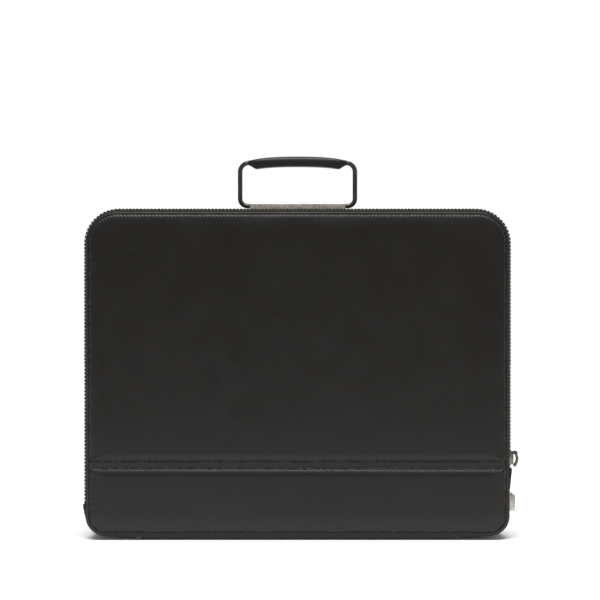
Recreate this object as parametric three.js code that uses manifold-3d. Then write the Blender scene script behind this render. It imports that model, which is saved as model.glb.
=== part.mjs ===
// Slim leather briefcase that opens by a zip over its top and sides, with a wire handle on a metal
// bar and four metal feet. Millimetres: +X to the right, the front face towards -Y, +Z up, floor at
// z = 0. The origin is on the floor, under the middle of the whole width.
import * as THREE from "three";
import { mergeVertices } from "three/addons/utils/BufferGeometryUtils.js";
import Module from "manifold-3d";

const wasm = await Module();
wasm.setup();

// Clearances
const seamGap = 0.3; // between pieces that touch in the real case
const runningGap = 0.3; // round a wire or pin that turns

// Case
const caseWidth = 396; // over the edge binding
const caseHeight = 303; // over the edge binding
const caseDepth = 65; // between the faces of the two bindings
const baseLift = 5.6; // lowest edge of the binding above the floor
const topCornerRadius = 29;
const baseCornerRadius = 17;

// Leather
const panelWall = 2.4;
const gussetWall = 2;
const bindingWidth = 3.5;
const bindingWall = 2.4;
const bindingRound = 0.8; // corners taken off the binding
const gussetStand = 2; // outer face of the gussets beyond the binding's edge
const flangeBend = 2.4; // rounding where a gusset or tape turns in under the binding
const frontCrown = 3.2; // the padded front stands this far out of its edge
const backCrown = 2;
const shoulderWidth = 11; // rounded margin of a padded panel
const minCornerRadius = 1.5;

// Seam across the front
const seamHeight = 71; // middle of the band above the floor
const seamWidth = 7.4;
const seamCornerRadius = 1.5; // corners of the panels where they meet the band

// Zip
const zipSetback = 12.5; // middle of the chain behind the front binding's face
const chainWidth = 5.6;
const chainStand = 3.9; // outer face of the teeth beyond the binding's edge
const chainWall = 4.2;
const chainRound = 0.8; // corners taken off the row of teeth
const tapeWall = 0.9;
const tapeWidth = 6; // each tape, from the chain to the leather
const tapeStand = 1.65; // outer face of the tape beyond the binding's edge
const leftZipEnd = 34; // heights of the two ends above the floor
const rightZipEnd = 68;

// Leather tabs over the zip's ends
const tabWidth = 16;
const tabWall = 1.9;
const tabThinWall = 0.6; // at the tapered lower edge
const tabFullLength = 3.8; // stretch of full thickness under the zip's end
const tabRound = 0.5; // corner taken off the outer top edge
const leftTabLength = 13;
const lockToTab = 1; // the right tab stops this far above the lock

// Slider and puller
const sliderLength = 12.3;
const sliderWall = 2;
const sliderSkirt = 1.7; // wall down each side of the chain
const sliderSetUp = 2.6; // slider above the zip's right end
const lugWidth = 2.4;
const lugLength = 3.2;
const lugWall = 0.75; // metal of the lug beyond the pin
const lugRoot = 1; // the lug starts this deep in the slider
const pinRadius = 0.75;
const pullerWidth = 6.4;
const pullerWall = 2.3;
const pullerRound = 0.45; // corners taken off the puller
const pullerLength = 13;
const pullerBow = 2.6; // how far the puller arches away from the slider
const pullerBend = 9; // radius of that arch
const pullerToe = 1.15; // how far its lower end leans back to the case
const eyeRadius = 1.95;

// Lock block on the right side
const lockFoot = 26.5; // underside above the floor
const lockHeight = 14.7;
const lockStand = 5.5;
const lockWidth = 10;
const lockSlope = 4; // height of the slanted cap
const lockCapStand = 1.1; // stand of the cap's top edge
const lockHoleRadius = 0.8;
const lockHoleStand = 1.4; // centre of the hole off the case
const lockHoleRise = 1.3; // centre of the hole above the block

// Feet
const footRadius = 4.25;
const footInset = 48; // centre of a foot in from the case's side
const footSetback = 9; // centre of a foot in from the binding's face
const footFlatRadius = 3.3; // flat underside
const footRound = 1.1; // height at which a foot reaches its full radius

// Handle
const barLength = 92.5;
const barDepth = 12;
const barHeight = 8.3;
const barCrownRadius = 3.4;
const wireRadius = 2.2;
const wireSpan = 110.2; // between the centres of the upright stretches
const wireRise = 41.4; // from the pivot to the wire inside the grip
const wireTopBend = 8.6;
const wireFootBend = 7;
const wireTail = 12; // length of each end inside the bar
const pivotDrop = 3; // pivot below the bar's top
const gripLength = 94.6;
const gripHeight = 9.4;
const gripDepth = 14;

// Smoothness
const weldTolerance = 1e-4;
const bendSteps = 8;
const roundSides = 16;
const gripSides = 24;

const halfWidth = caseWidth / 2;
const halfDepth = caseDepth / 2;
const caseTop = baseLift + caseHeight;
const caseMiddle = baseLift + caseHeight / 2;
const chainMiddle = zipSetback - halfDepth;

// Finishes
const leather = new THREE.MeshStandardMaterial({ color: 0x2b2a29, roughness: 0.55, metalness: 0 });
const gripLeather = new THREE.MeshStandardMaterial({ color: 0x1c1b1a, roughness: 0.5, metalness: 0 });
const tape = new THREE.MeshStandardMaterial({ color: 0x141413, roughness: 0.9, metalness: 0 });
const darkMetal = new THREE.MeshStandardMaterial({ color: 0x4d4842, roughness: 0.35, metalness: 1 });
const nickel = new THREE.MeshStandardMaterial({ color: 0xb9b2a8, roughness: 0.3, metalness: 1 });
const barMetal = new THREE.MeshStandardMaterial({ color: 0x9c948a, roughness: 0.35, metalness: 1 });
const coatedWire = new THREE.MeshStandardMaterial({ color: 0x1a1918, roughness: 0.4, metalness: 0 });

const briefcase = new THREE.Group();

function addPiece(name, geometry, material) {
  const mesh = new THREE.Mesh(geometry, material);
  mesh.name = name;
  briefcase.add(mesh);
}

// A closed mesh from points and triangles, turned so that its faces point out.
function closedGeometry(points, triangles) {
  const volume = triangles.reduce((sum, [a, b, c]) => {
    return sum + points[a].dot(new THREE.Vector3().crossVectors(points[b], points[c]));
  }, 0);
  const outward = volume < 0 ? triangles.map(([a, b, c]) => [a, c, b]) : triangles;
  const geometry = new THREE.BufferGeometry().setFromPoints(points);
  geometry.setIndex(outward.flat());
  return geometry;
}

// Stations along a path in the X-Z plane with rounded corners. Each holds its place and the unit
// normal on the left of the way, which is outwards when the case is gone round clockwise.
function roundedPath(corners) {
  const stations = [];
  const heading = (from, to) => Math.atan2(to.z - from.z, to.x - from.x);
  corners.forEach((corner, index) => {
    const before = corners[index - 1] ?? null;
    const after = corners[index + 1] ?? corners[0];
    const inward = before ? heading(before, corner) : heading(corner, after);
    const outward = corner.last ? inward : heading(corner, after);
    if (!corner.radius) {
      stations.push({ x: corner.x, z: corner.z, nx: -Math.sin(inward), nz: Math.cos(inward) });
      return;
    }
    const turn = Math.atan2(Math.sin(outward - inward), Math.cos(outward - inward));
    const side = Math.sign(turn);
    const reach = corner.radius * Math.tan(Math.abs(turn) / 2);
    const centreX = corner.x - Math.cos(inward) * reach - side * corner.radius * Math.sin(inward);
    const centreZ = corner.z - Math.sin(inward) * reach + side * corner.radius * Math.cos(inward);
    for (let step = 0; step <= bendSteps; step += 1) {
      const angle = inward + (turn * step) / bendSteps;
      const nx = -Math.sin(angle);
      const nz = Math.cos(angle);
      stations.push({
        x: centreX - side * corner.radius * nx,
        z: centreZ - side * corner.radius * nz,
        nx,
        nz,
      });
    }
  });
  return stations;
}

// Sweeps a section, whose points are an outward offset and a depth, along the stations.
function sweep(stations, section, closed = false) {
  const points = [];
  const triangles = [];
  const count = section.length;
  for (const station of stations) {
    for (const { out, y } of section) {
      points.push(new THREE.Vector3(station.x + station.nx * out, y, station.z + station.nz * out));
    }
  }
  const spans = closed ? stations.length : stations.length - 1;
  for (let span = 0; span < spans; span += 1) {
    const near = span * count;
    const far = ((span + 1) % stations.length) * count;
    for (let side = 0; side < count; side += 1) {
      const next = (side + 1) % count;
      triangles.push([near + side, near + next, far + next], [near + side, far + next, far + side]);
    }
  }
  if (!closed) {
    const contour = section.map(({ out, y }) => new THREE.Vector2(out, y));
    const clockwise = THREE.ShapeUtils.isClockWise(contour);
    const lastRing = (stations.length - 1) * count;
    for (const face of THREE.ShapeUtils.triangulateShape(contour, [])) {
      const [a, b, c] = capTriangle(face, contour, clockwise);
      triangles.push([a, c, b], [lastRing + a, lastRing + b, lastRing + c]);
    }
  }
  return closedGeometry(points, triangles);
}

// Winds a cap's triangle the way its contour runs.
function capTriangle([a, b, c], contour, clockwise) {
  const area = new THREE.Vector2().subVectors(contour[b], contour[a])
    .cross(new THREE.Vector2().subVectors(contour[c], contour[a]));
  return area < 0 === clockwise ? [a, b, c] : [a, c, b];
}

// Turns a line of section points into a wall of even thickness, with mitred bends.
function wallSection(line, wall) {
  const side = (sign) => line.map((point, index) => {
    const before = line[Math.max(index - 1, 0)];
    const after = line[Math.min(index + 1, line.length - 1)];
    const unit = (from, to) => {
      const length = Math.hypot(to.out - from.out, to.y - from.y) || 1;
      return { out: (to.out - from.out) / length, y: (to.y - from.y) / length };
    };
    const first = unit(before, point);
    const second = unit(point, after);
    const normals = [first, second].filter((way) => way.out || way.y)
      .map((way) => ({ out: -way.y, y: way.out }));
    const sum = normals.reduce((all, normal) => ({ out: all.out + normal.out, y: all.y + normal.y }));
    const square = sum.out * sum.out + sum.y * sum.y;
    const scale = (sign * wall * normals.length) / 2 / square;
    return { out: point.out + sum.out * scale, y: point.y + sum.y * scale };
  });
  return [...side(1), ...side(-1).reverse()];
}

// A rectangle in the section plane with its corners cut off.
function chamferedSection(innerOut, outerOut, frontY, backY, chamfer) {
  return [
    { out: innerOut + chamfer, y: frontY },
    { out: outerOut - chamfer, y: frontY },
    { out: outerOut, y: frontY + chamfer },
    { out: outerOut, y: backY - chamfer },
    { out: outerOut - chamfer, y: backY },
    { out: innerOut + chamfer, y: backY },
    { out: innerOut, y: backY - chamfer },
    { out: innerOut, y: frontY + chamfer },
  ];
}

function ringSection(radius, middleY) {
  return Array.from({ length: roundSides }, (_, side) => {
    const angle = (2 * Math.PI * side) / roundSides;
    return { out: radius * Math.cos(angle), y: middleY + radius * Math.sin(angle) };
  });
}

const aroundCase = roundedPath([
  { x: -halfWidth, z: caseMiddle },
  { x: -halfWidth, z: caseTop, radius: topCornerRadius },
  { x: halfWidth, z: caseTop, radius: topCornerRadius },
  { x: halfWidth, z: baseLift, radius: baseCornerRadius },
  { x: -halfWidth, z: baseLift, radius: baseCornerRadius },
]);

const overTop = roundedPath([
  { x: -halfWidth, z: leftZipEnd },
  { x: -halfWidth, z: caseTop, radius: topCornerRadius },
  { x: halfWidth, z: caseTop, radius: topCornerRadius },
  { x: halfWidth, z: rightZipEnd, last: true },
]);

const underBase = roundedPath([
  { x: halfWidth, z: rightZipEnd - seamGap },
  { x: halfWidth, z: baseLift, radius: baseCornerRadius },
  { x: -halfWidth, z: baseLift, radius: baseCornerRadius },
  { x: -halfWidth, z: leftZipEnd - seamGap, last: true },
]);

// Padded panels. Each row gives a ring of the rounded margin: how far it lies in from the panel's
// edge, as a share of the shoulder, and how far it stands out, as a share of the crown.
const shoulderRings = [
  { inset: 0, rise: 0 },
  { inset: 0.06, rise: 0.3 },
  { inset: 0.2, rise: 0.55 },
  { inset: 0.45, rise: 0.78 },
  { inset: 0.75, rise: 0.9 },
  { inset: 1, rise: 0.94 },
];
const middleRing = { inset: 0.85, rise: 1 }; // inset as a share of half the panel's shorter side

// One ring of a panel's outline, drawn in from its edges.
function panelRing(panel, inset) {
  const left = panel.left + inset;
  const right = panel.right - inset;
  const base = panel.base + inset;
  const top = panel.top - inset;
  const upper = Math.max(panel.topRadius - inset, minCornerRadius);
  const lower = Math.max(panel.baseRadius - inset, minCornerRadius);
  const corners = [
    { x: left + upper, z: top - upper, radius: upper, from: Math.PI },
    { x: right - upper, z: top - upper, radius: upper, from: Math.PI / 2 },
    { x: right - lower, z: base + lower, radius: lower, from: 0 },
    { x: left + lower, z: base + lower, radius: lower, from: -Math.PI / 2 },
  ];
  return corners.flatMap(({ x, z, radius, from }) => {
    return Array.from({ length: bendSteps + 1 }, (_, step) => {
      const angle = from - (Math.PI / 2) * (step / bendSteps);
      return { x: x + radius * Math.cos(angle), z: z + radius * Math.sin(angle) };
    });
  });
}

// A crowned leather wall. Its outer face stands out towards `facing`, -1 for the front.
function crownedPanel(panel, facing) {
  const shorterHalf = Math.min(panel.right - panel.left, panel.top - panel.base) / 2;
  const rings = shoulderRings.map(({ inset, rise }) => ({ inset: inset * shoulderWidth, rise }));
  rings.push({ inset: middleRing.inset * shorterHalf, rise: middleRing.rise });
  const points = [];
  const triangles = [];
  const faces = [0, -facing * panelWall];
  const ringSize = 4 * (bendSteps + 1);
  const faceSize = rings.length * ringSize + 1;
  for (const setback of faces) {
    for (const { inset, rise } of rings) {
      for (const { x, z } of panelRing(panel, inset)) {
        points.push(new THREE.Vector3(x, panel.y + facing * panel.crown * rise + setback, z));
      }
    }
    const middleX = (panel.left + panel.right) / 2;
    const middleZ = (panel.base + panel.top) / 2;
    points.push(new THREE.Vector3(middleX, panel.y + facing * panel.crown + setback, middleZ));
  }
  for (let side = 0; side < ringSize; side += 1) {
    const next = (side + 1) % ringSize;
    faces.forEach((_, face) => {
      const start = face * faceSize;
      const wind = (a, b, c) => (face ? [a, c, b] : [a, b, c]);
      for (let ring = 0; ring < rings.length - 1; ring += 1) {
        const edge = start + ring * ringSize;
        const inner = edge + ringSize;
        triangles.push(wind(edge + side, edge + next, inner + next));
        triangles.push(wind(edge + side, inner + next, inner + side));
      }
      const lastRing = start + (rings.length - 1) * ringSize;
      triangles.push(wind(lastRing + side, lastRing + next, start + faceSize - 1));
    });
    triangles.push([next, side, faceSize + side], [next, faceSize + side, faceSize + next]);
  }
  return closedGeometry(points, triangles);
}

const panelInset = bindingWidth + seamGap;
const frontPanelFace = -halfDepth + seamGap;
const panelSides = { left: panelInset - halfWidth, right: halfWidth - panelInset, y: frontPanelFace };

function addPanels() {
  addPiece("front_upper_panel", crownedPanel({
    ...panelSides,
    top: caseTop - panelInset,
    base: seamHeight + seamWidth / 2 + seamGap,
    topRadius: topCornerRadius - panelInset,
    baseRadius: seamCornerRadius,
    crown: frontCrown,
  }, -1), leather);
  addPiece("front_lower_panel", crownedPanel({
    ...panelSides,
    top: seamHeight - seamWidth / 2 - seamGap,
    base: baseLift + panelInset,
    topRadius: seamCornerRadius,
    baseRadius: baseCornerRadius - panelInset,
    crown: frontCrown,
  }, -1), leather);
  addPiece("back_panel", crownedPanel({
    ...panelSides,
    y: -frontPanelFace,
    top: caseTop - panelInset,
    base: baseLift + panelInset,
    topRadius: topCornerRadius - panelInset,
    baseRadius: baseCornerRadius - panelInset,
    crown: backCrown,
  }, 1), leather);
  const band = new THREE.BoxGeometry(caseWidth - 2 * panelInset, panelWall, seamWidth);
  band.translate(0, frontPanelFace + panelWall / 2, seamHeight);
  addPiece("front_seam_band", band, leather);
}

// The bindings grip the edges of panel and gusset together.
function addBindings() {
  const inner = halfDepth - bindingWall;
  const front = chamferedSection(-bindingWidth, 0, -halfDepth, -inner, bindingRound);
  const back = chamferedSection(-bindingWidth, 0, inner, halfDepth, bindingRound);
  addPiece("front_binding", sweep(aroundCase, front, true), leather);
  addPiece("back_binding", sweep(aroundCase, back, true), leather);
}

// The line of a wall that leaves the front binding's back and turns out to its own height.
function flangeLine(wall, stand, facing) {
  const flangeY = facing * (halfDepth - bindingWall - seamGap - wall / 2);
  const middle = stand - wall / 2;
  return [
    { out: -bindingWidth + wall / 2, y: flangeY },
    { out: middle - flangeBend / 2, y: flangeY },
    { out: middle, y: flangeY - facing * flangeBend },
  ];
}

function addZipAndGussets() {
  const chainFront = chainMiddle - chainWidth / 2;
  const chainBack = chainMiddle + chainWidth / 2;
  const rearTapeEnd = chainBack + seamGap + tapeWidth;
  const tapeMiddle = tapeStand - tapeWall / 2;
  const gussetMiddle = gussetStand - gussetWall / 2;
  const frontTape = [
    ...flangeLine(tapeWall, tapeStand, -1),
    { out: tapeMiddle, y: chainFront - seamGap },
  ];
  const rearTape = [
    { out: tapeMiddle, y: chainBack + seamGap },
    { out: tapeMiddle, y: rearTapeEnd },
  ];
  const rearGusset = [
    ...flangeLine(gussetWall, gussetStand, 1),
    { out: gussetMiddle, y: rearTapeEnd + seamGap },
  ];
  const baseGusset = [
    ...flangeLine(gussetWall, gussetStand, 1),
    ...flangeLine(gussetWall, gussetStand, -1).reverse(),
  ];
  const chainInner = chainStand - chainWall;
  const chain = chamferedSection(chainInner, chainStand, chainFront, chainBack, chainRound);
  addPiece("zip_tape_front", sweep(overTop, wallSection(frontTape, tapeWall)), tape);
  addPiece("zip_chain", sweep(overTop, chain), darkMetal);
  addPiece("zip_tape_rear", sweep(overTop, wallSection(rearTape, tapeWall)), tape);
  addPiece("rear_gusset", sweep(overTop, wallSection(rearGusset, gussetWall)), leather);
  addPiece("base_gusset", sweep(underBase, wallSection(baseGusset, gussetWall)), leather);
}

// Extrudes an outline drawn in the X-Z plane over a width centred on middleY.
function extrudeAcross(shape, width, middleY) {
  const geometry = new THREE.ExtrudeGeometry(shape, {
    depth: width,
    bevelEnabled: false,
    curveSegments: roundSides,
  });
  const across = new THREE.Matrix4().makeBasis(
    new THREE.Vector3(1, 0, 0),
    new THREE.Vector3(0, 0, 1),
    new THREE.Vector3(0, -1, 0),
  );
  geometry.applyMatrix4(across);
  geometry.translate(0, middleY + width / 2, 0);
  return geometry;
}

function shapeOf(corners) {
  return new THREE.Shape(corners.map(([x, z]) => new THREE.Vector2(x, z)));
}

const sideFace = halfWidth + gussetStand + seamGap; // where fittings sit on the case's side

function addTabs() {
  const lockTop = lockFoot + lockHeight + lockSlope;
  const leftTop = leftZipEnd - seamGap;
  const rightTop = rightZipEnd - seamGap;
  const tabs = [
    { name: "zip_tab_left", side: -1, top: leftTop, foot: leftTop - leftTabLength },
    { name: "zip_tab_right", side: 1, top: rightTop, foot: lockTop + lockToTab },
  ];
  for (const { name, side, top, foot } of tabs) {
    const profile = shapeOf([
      [side * sideFace, foot],
      [side * (sideFace + tabThinWall), foot],
      [side * (sideFace + tabWall), top - tabFullLength],
      [side * (sideFace + tabWall), top - tabRound],
      [side * (sideFace + tabWall - tabRound), top],
      [side * sideFace, top],
    ]);
    addPiece(name, extrudeAcross(profile, tabWidth, chainMiddle), leather);
  }
}

function addLock() {
  const outer = sideFace + lockStand;
  const capBase = lockFoot + lockHeight;
  const block = shapeOf([
    [sideFace, lockFoot],
    [outer, lockFoot],
    [outer, capBase],
    [sideFace + lockCapStand, capBase + lockSlope],
    [sideFace, capBase + lockSlope],
  ]);
  const hole = new THREE.Path();
  const holeX = sideFace + lockHoleStand;
  hole.absarc(holeX, capBase + lockHoleRise, lockHoleRadius, 0, 2 * Math.PI, true);
  block.holes.push(hole);
  addPiece("lock_block", extrudeAcross(block, lockWidth, chainMiddle), nickel);
}

function solidOf(geometry) {
  const bare = geometry.clone();
  bare.deleteAttribute("normal");
  bare.deleteAttribute("uv");
  const merged = mergeVertices(bare, weldTolerance);
  return new wasm.Manifold(new wasm.Mesh({
    numProp: 3,
    vertProperties: new Float32Array(merged.attributes.position.array),
    triVerts: new Uint32Array(merged.index.array),
  }));
}

function geometryOf(solid) {
  const mesh = solid.getMesh();
  const geometry = new THREE.BufferGeometry();
  geometry.setAttribute("position", new THREE.BufferAttribute(mesh.vertProperties, 3));
  geometry.setIndex(new THREE.BufferAttribute(mesh.triVerts, 1));
  return geometry;
}

// A cylinder along Y.
function crossCylinder(radius, length, x, z) {
  const cylinder = new THREE.CylinderGeometry(radius, radius, length, roundSides);
  cylinder.translate(x, chainMiddle, z);
  return cylinder;
}

const sliderFace = halfWidth + chainStand + seamGap + sliderWall; // outer face of the slider
const pivotX = sliderFace + runningGap + eyeRadius;
const sliderFoot = rightZipEnd + sliderSetUp;
const pullerPivotZ = sliderFoot + sliderLength - lugLength / 2;

// A channel that straddles the chain, with a lug and a pin for the puller.
function addSlider() {
  const skirtIn = halfWidth + tapeStand + seamGap;
  const inner = chainWidth / 2 + seamGap;
  const outer = inner + sliderSkirt;
  const channel = new THREE.Shape([
    [skirtIn, -outer],
    [sliderFace, -outer],
    [sliderFace, outer],
    [skirtIn, outer],
    [skirtIn, inner],
    [sliderFace - sliderWall, inner],
    [sliderFace - sliderWall, -inner],
    [skirtIn, -inner],
  ].map(([x, y]) => new THREE.Vector2(x, y)));
  const body = new THREE.ExtrudeGeometry(channel, { depth: sliderLength, bevelEnabled: false });
  body.translate(0, chainMiddle, sliderFoot);
  const lugStart = sliderFace - lugRoot;
  const lugEnd = pivotX + pinRadius + lugWall;
  const lug = new THREE.BoxGeometry(lugEnd - lugStart, lugWidth, lugLength);
  lug.translate((lugStart + lugEnd) / 2, chainMiddle, pullerPivotZ);
  const pin = crossCylinder(pinRadius, pullerWidth, pivotX, pullerPivotZ);
  const slider = solidOf(body).add(solidOf(lug)).add(solidOf(pin));
  addPiece("zip_slider", geometryOf(slider), nickel);
}

// An arched plate that hangs from the slider's pin by two ears.
function addPuller() {
  const path = roundedPath([
    { x: pivotX, z: pullerPivotZ },
    { x: pivotX + pullerBow, z: pullerPivotZ - pullerLength / 2, radius: pullerBend },
    { x: pivotX - pullerToe, z: pullerPivotZ - pullerLength, last: true },
  ]);
  const halfWall = pullerWall / 2;
  const frontEdge = chainMiddle - pullerWidth / 2;
  const backEdge = chainMiddle + pullerWidth / 2;
  const section = chamferedSection(-halfWall, halfWall, frontEdge, backEdge, pullerRound);
  const eye = crossCylinder(eyeRadius, pullerWidth, pivotX, pullerPivotZ);
  const hole = crossCylinder(pinRadius + runningGap, pullerWidth * 2, pivotX, pullerPivotZ);
  const slotHeight = lugLength + 2 * eyeRadius;
  const slot = new THREE.BoxGeometry(4 * eyeRadius, lugWidth + 2 * runningGap, slotHeight);
  slot.translate(pivotX, chainMiddle, pullerPivotZ);
  const puller = solidOf(sweep(path, section))
    .add(solidOf(eye))
    .subtract(solidOf(hole))
    .subtract(solidOf(slot));
  addPiece("zip_puller", geometryOf(puller), nickel);
}

function addFeet() {
  const height = baseLift - gussetStand - seamGap;
  const profile = [
    [0, 0],
    [footFlatRadius, 0],
    [footRadius, footRound],
    [footRadius, height],
    [0, height],
  ].map(([radius, rise]) => new THREE.Vector2(radius, rise));
  const sides = [
    { name: "left", x: footInset - halfWidth },
    { name: "right", x: halfWidth - footInset },
  ];
  const ends = [
    { name: "front", y: footSetback - halfDepth },
    { name: "rear", y: halfDepth - footSetback },
  ];
  for (const side of sides) {
    for (const end of ends) {
      const foot = new THREE.LatheGeometry(profile, gripSides);
      foot.rotateX(Math.PI / 2);
      foot.translate(side.x, end.y, 0);
      addPiece(`foot_${end.name}_${side.name}`, foot, darkMetal);
    }
  }
}

const barFoot = caseTop + gussetStand + seamGap;
const handlePivotZ = barFoot + barHeight - pivotDrop;

// The bar is bored through for the ends of the wire.
function addBar() {
  const half = barDepth / 2;
  const top = barFoot + barHeight;
  const profile = new THREE.Shape();
  profile.moveTo(-half, barFoot);
  profile.lineTo(half, barFoot);
  profile.lineTo(half, top - barCrownRadius);
  profile.absarc(half - barCrownRadius, top - barCrownRadius, barCrownRadius, 0, Math.PI / 2, false);
  profile.absarc(barCrownRadius - half, top - barCrownRadius, barCrownRadius, Math.PI / 2, Math.PI, false);
  profile.closePath();
  const bore = new THREE.Path();
  bore.absarc(0, handlePivotZ, wireRadius + runningGap, 0, 2 * Math.PI, true);
  profile.holes.push(bore);
  const bar = new THREE.ExtrudeGeometry(profile, {
    depth: barLength,
    bevelEnabled: false,
    curveSegments: bendSteps * 2,
  });
  const lengthwise = new THREE.Matrix4().makeBasis(
    new THREE.Vector3(0, 1, 0),
    new THREE.Vector3(0, 0, 1),
    new THREE.Vector3(1, 0, 0),
  );
  bar.applyMatrix4(lengthwise);
  bar.translate(-barLength / 2, 0, 0);
  addPiece("handle_bar", bar, barMetal);
}

const wireTopZ = handlePivotZ + wireRise;

function addWire() {
  const halfSpan = wireSpan / 2;
  const tailEnd = barLength / 2 - wireTail;
  const path = roundedPath([
    { x: -tailEnd, z: handlePivotZ },
    { x: -halfSpan, z: handlePivotZ, radius: wireFootBend },
    { x: -halfSpan, z: wireTopZ, radius: wireTopBend },
    { x: halfSpan, z: wireTopZ, radius: wireTopBend },
    { x: halfSpan, z: handlePivotZ, radius: wireFootBend },
    { x: tailEnd, z: handlePivotZ, last: true },
  ]);
  addPiece("handle_wire", sweep(path, ringSection(wireRadius, 0)), coatedWire);
}

// Sections of half the grip, from its middle to its end: the place as a share of half the length,
// the height above and below the wire as shares of the grip's height, and half its depth.
const gripSections = [
  { along: 0, above: 0.66, below: 0.34, deep: 0.5 },
  { along: 0.45, above: 0.62, below: 0.39, deep: 0.5 },
  { along: 0.7, above: 0.53, below: 0.5, deep: 0.48 },
  { along: 0.83, above: 0.45, below: 0.6, deep: 0.44 },
  { along: 0.92, above: 0.4, below: 0.47, deep: 0.36 },
  { along: 1, above: 0.34, below: 0.34, deep: 0.26 },
];

// The grip is a shaped sleeve round the straight top of the wire.
function addGrip() {
  const mirrored = gripSections.slice(1).reverse().map((row) => ({ ...row, along: -row.along }));
  const rows = [...mirrored, ...gripSections];
  const points = [];
  const triangles = [];
  const boreRadius = wireRadius + seamGap;
  for (const row of rows) {
    const x = (row.along * gripLength) / 2;
    for (let side = 0; side < gripSides; side += 1) {
      const angle = (2 * Math.PI * side) / gripSides;
      const lift = Math.sin(angle) > 0 ? row.above : row.below;
      const y = row.deep * gripDepth * Math.cos(angle);
      points.push(new THREE.Vector3(x, y, wireTopZ + lift * gripHeight * Math.sin(angle)));
    }
    for (let side = 0; side < gripSides; side += 1) {
      const angle = (2 * Math.PI * side) / gripSides;
      const y = boreRadius * Math.cos(angle);
      points.push(new THREE.Vector3(x, y, wireTopZ + boreRadius * Math.sin(angle)));
    }
  }
  const rowSize = 2 * gripSides;
  const lastRow = (rows.length - 1) * rowSize;
  for (let side = 0; side < gripSides; side += 1) {
    const next = (side + 1) % gripSides;
    for (let row = 0; row < rows.length - 1; row += 1) {
      const near = row * rowSize;
      const far = near + rowSize;
      triangles.push([near + side, near + next, far + next], [near + side, far + next, far + side]);
      const nearBore = near + gripSides;
      const farBore = far + gripSides;
      triangles.push([nearBore + next, nearBore + side, farBore + side]);
      triangles.push([nearBore + next, farBore + side, farBore + next]);
    }
    triangles.push([next, side, gripSides + side], [next, gripSides + side, gripSides + next]);
    const end = lastRow;
    triangles.push([end + side, end + next, end + gripSides + next]);
    triangles.push([end + side, end + gripSides + next, end + gripSides + side]);
  }
  addPiece("handle_grip", closedGeometry(points, triangles), gripLeather);
}

addPanels();
addBindings();
addZipAndGussets();
addTabs();
addLock();
addSlider();
addPuller();
addFeet();
addBar();
addWire();
addGrip();

// The slider and the lock stand out on the right alone, so the case lies a little left of the origin.
const reach = new THREE.Box3().setFromObject(briefcase);
briefcase.position.x = -(reach.min.x + reach.max.x) / 2;

export default briefcase;
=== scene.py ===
"""A slim padded leather briefcase with a zip over its top and sides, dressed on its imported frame."""
import logging
import math
from contextlib import contextmanager
from dataclasses import dataclass
from enum import Enum
from typing import Callable, Iterator, Sequence

import bmesh
import bpy
import numpy as np
from mathutils import Matrix, Vector


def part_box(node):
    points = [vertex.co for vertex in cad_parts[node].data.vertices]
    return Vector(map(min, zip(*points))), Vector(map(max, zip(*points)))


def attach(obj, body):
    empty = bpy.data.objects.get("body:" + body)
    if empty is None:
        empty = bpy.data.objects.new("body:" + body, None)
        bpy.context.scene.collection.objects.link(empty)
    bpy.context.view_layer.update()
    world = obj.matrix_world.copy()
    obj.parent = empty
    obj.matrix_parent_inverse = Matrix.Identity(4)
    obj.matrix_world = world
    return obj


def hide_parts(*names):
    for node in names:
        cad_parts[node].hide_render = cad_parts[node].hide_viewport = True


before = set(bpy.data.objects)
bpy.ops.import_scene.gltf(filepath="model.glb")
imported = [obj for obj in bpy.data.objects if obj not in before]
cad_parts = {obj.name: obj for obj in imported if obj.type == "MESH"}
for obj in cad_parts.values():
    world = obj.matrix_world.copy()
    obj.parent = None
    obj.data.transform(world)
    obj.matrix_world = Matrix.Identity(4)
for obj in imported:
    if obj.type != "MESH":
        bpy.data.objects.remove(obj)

log = logging.getLogger("briefcase")
MM = 0.001

# The turn that stands a circle across x.
ACROSS_X = (0, math.pi / 2, 0)

# The gap between the two gusset strips, in millimetres.
JOINT = 0.3

# Points that lie closer than this are merged, in millimetres.
DOUBLES = 0.005

Piece = bpy.types.Object
Socket = bpy.types.NodeSocket
Pair = tuple[float, float]
Colour = tuple[float, float, float]


class Grade(Enum):
    """What a selection is made of."""

    POINTS = "VERT"
    EDGES = "EDGE"
    FACES = "FACE"


class Body(Enum):
    """The moving bodies of the frame."""

    CASE = "case"
    HANDLE = "handle"
    PULLER = "puller"


def node_box(node: str) -> tuple[Vector, Vector]:
    """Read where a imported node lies.

    Args:
        node: The node's name.

    Returns:
        Its lowest and highest corners, in millimetres.
    """
    low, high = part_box(node)
    return Vector(low) / MM, Vector(high) / MM


def select_only(*pieces: Piece) -> None:
    """Select these pieces and nothing else; the first is the active one."""
    bpy.ops.object.select_all(action="DESELECT")
    for piece in pieces:
        piece.select_set(True)
    bpy.context.view_layer.objects.active = pieces[0]


@contextmanager
def editing(piece: Piece) -> Iterator[None]:
    """Open one piece alone in edit mode, and close it afterwards."""
    select_only(piece)
    bpy.ops.object.mode_set(mode="EDIT")
    yield
    bpy.ops.object.mode_set(mode="OBJECT")


def take_all() -> None:
    """Select everything in the piece that is open."""
    bpy.ops.mesh.select_all(action="SELECT")


def close_ends() -> None:
    """Fill every hole in the piece that is open."""
    take_all()
    bpy.ops.mesh.fill_holes(sides=0)


def fill_ring() -> None:
    """Fill the closed line that is open with one face."""
    bpy.ops.mesh.select_mode(type="FACE")
    take_all()
    bpy.ops.mesh.edge_face_add()


def draw_out(x: float = 0.0, y: float = 0.0, z: float = 0.0) -> None:
    """Extrude what is selected this far, in millimetres."""
    bpy.ops.mesh.extrude_region_move(TRANSFORM_OT_translate={"value": (x * MM, y * MM, z * MM)})


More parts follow.
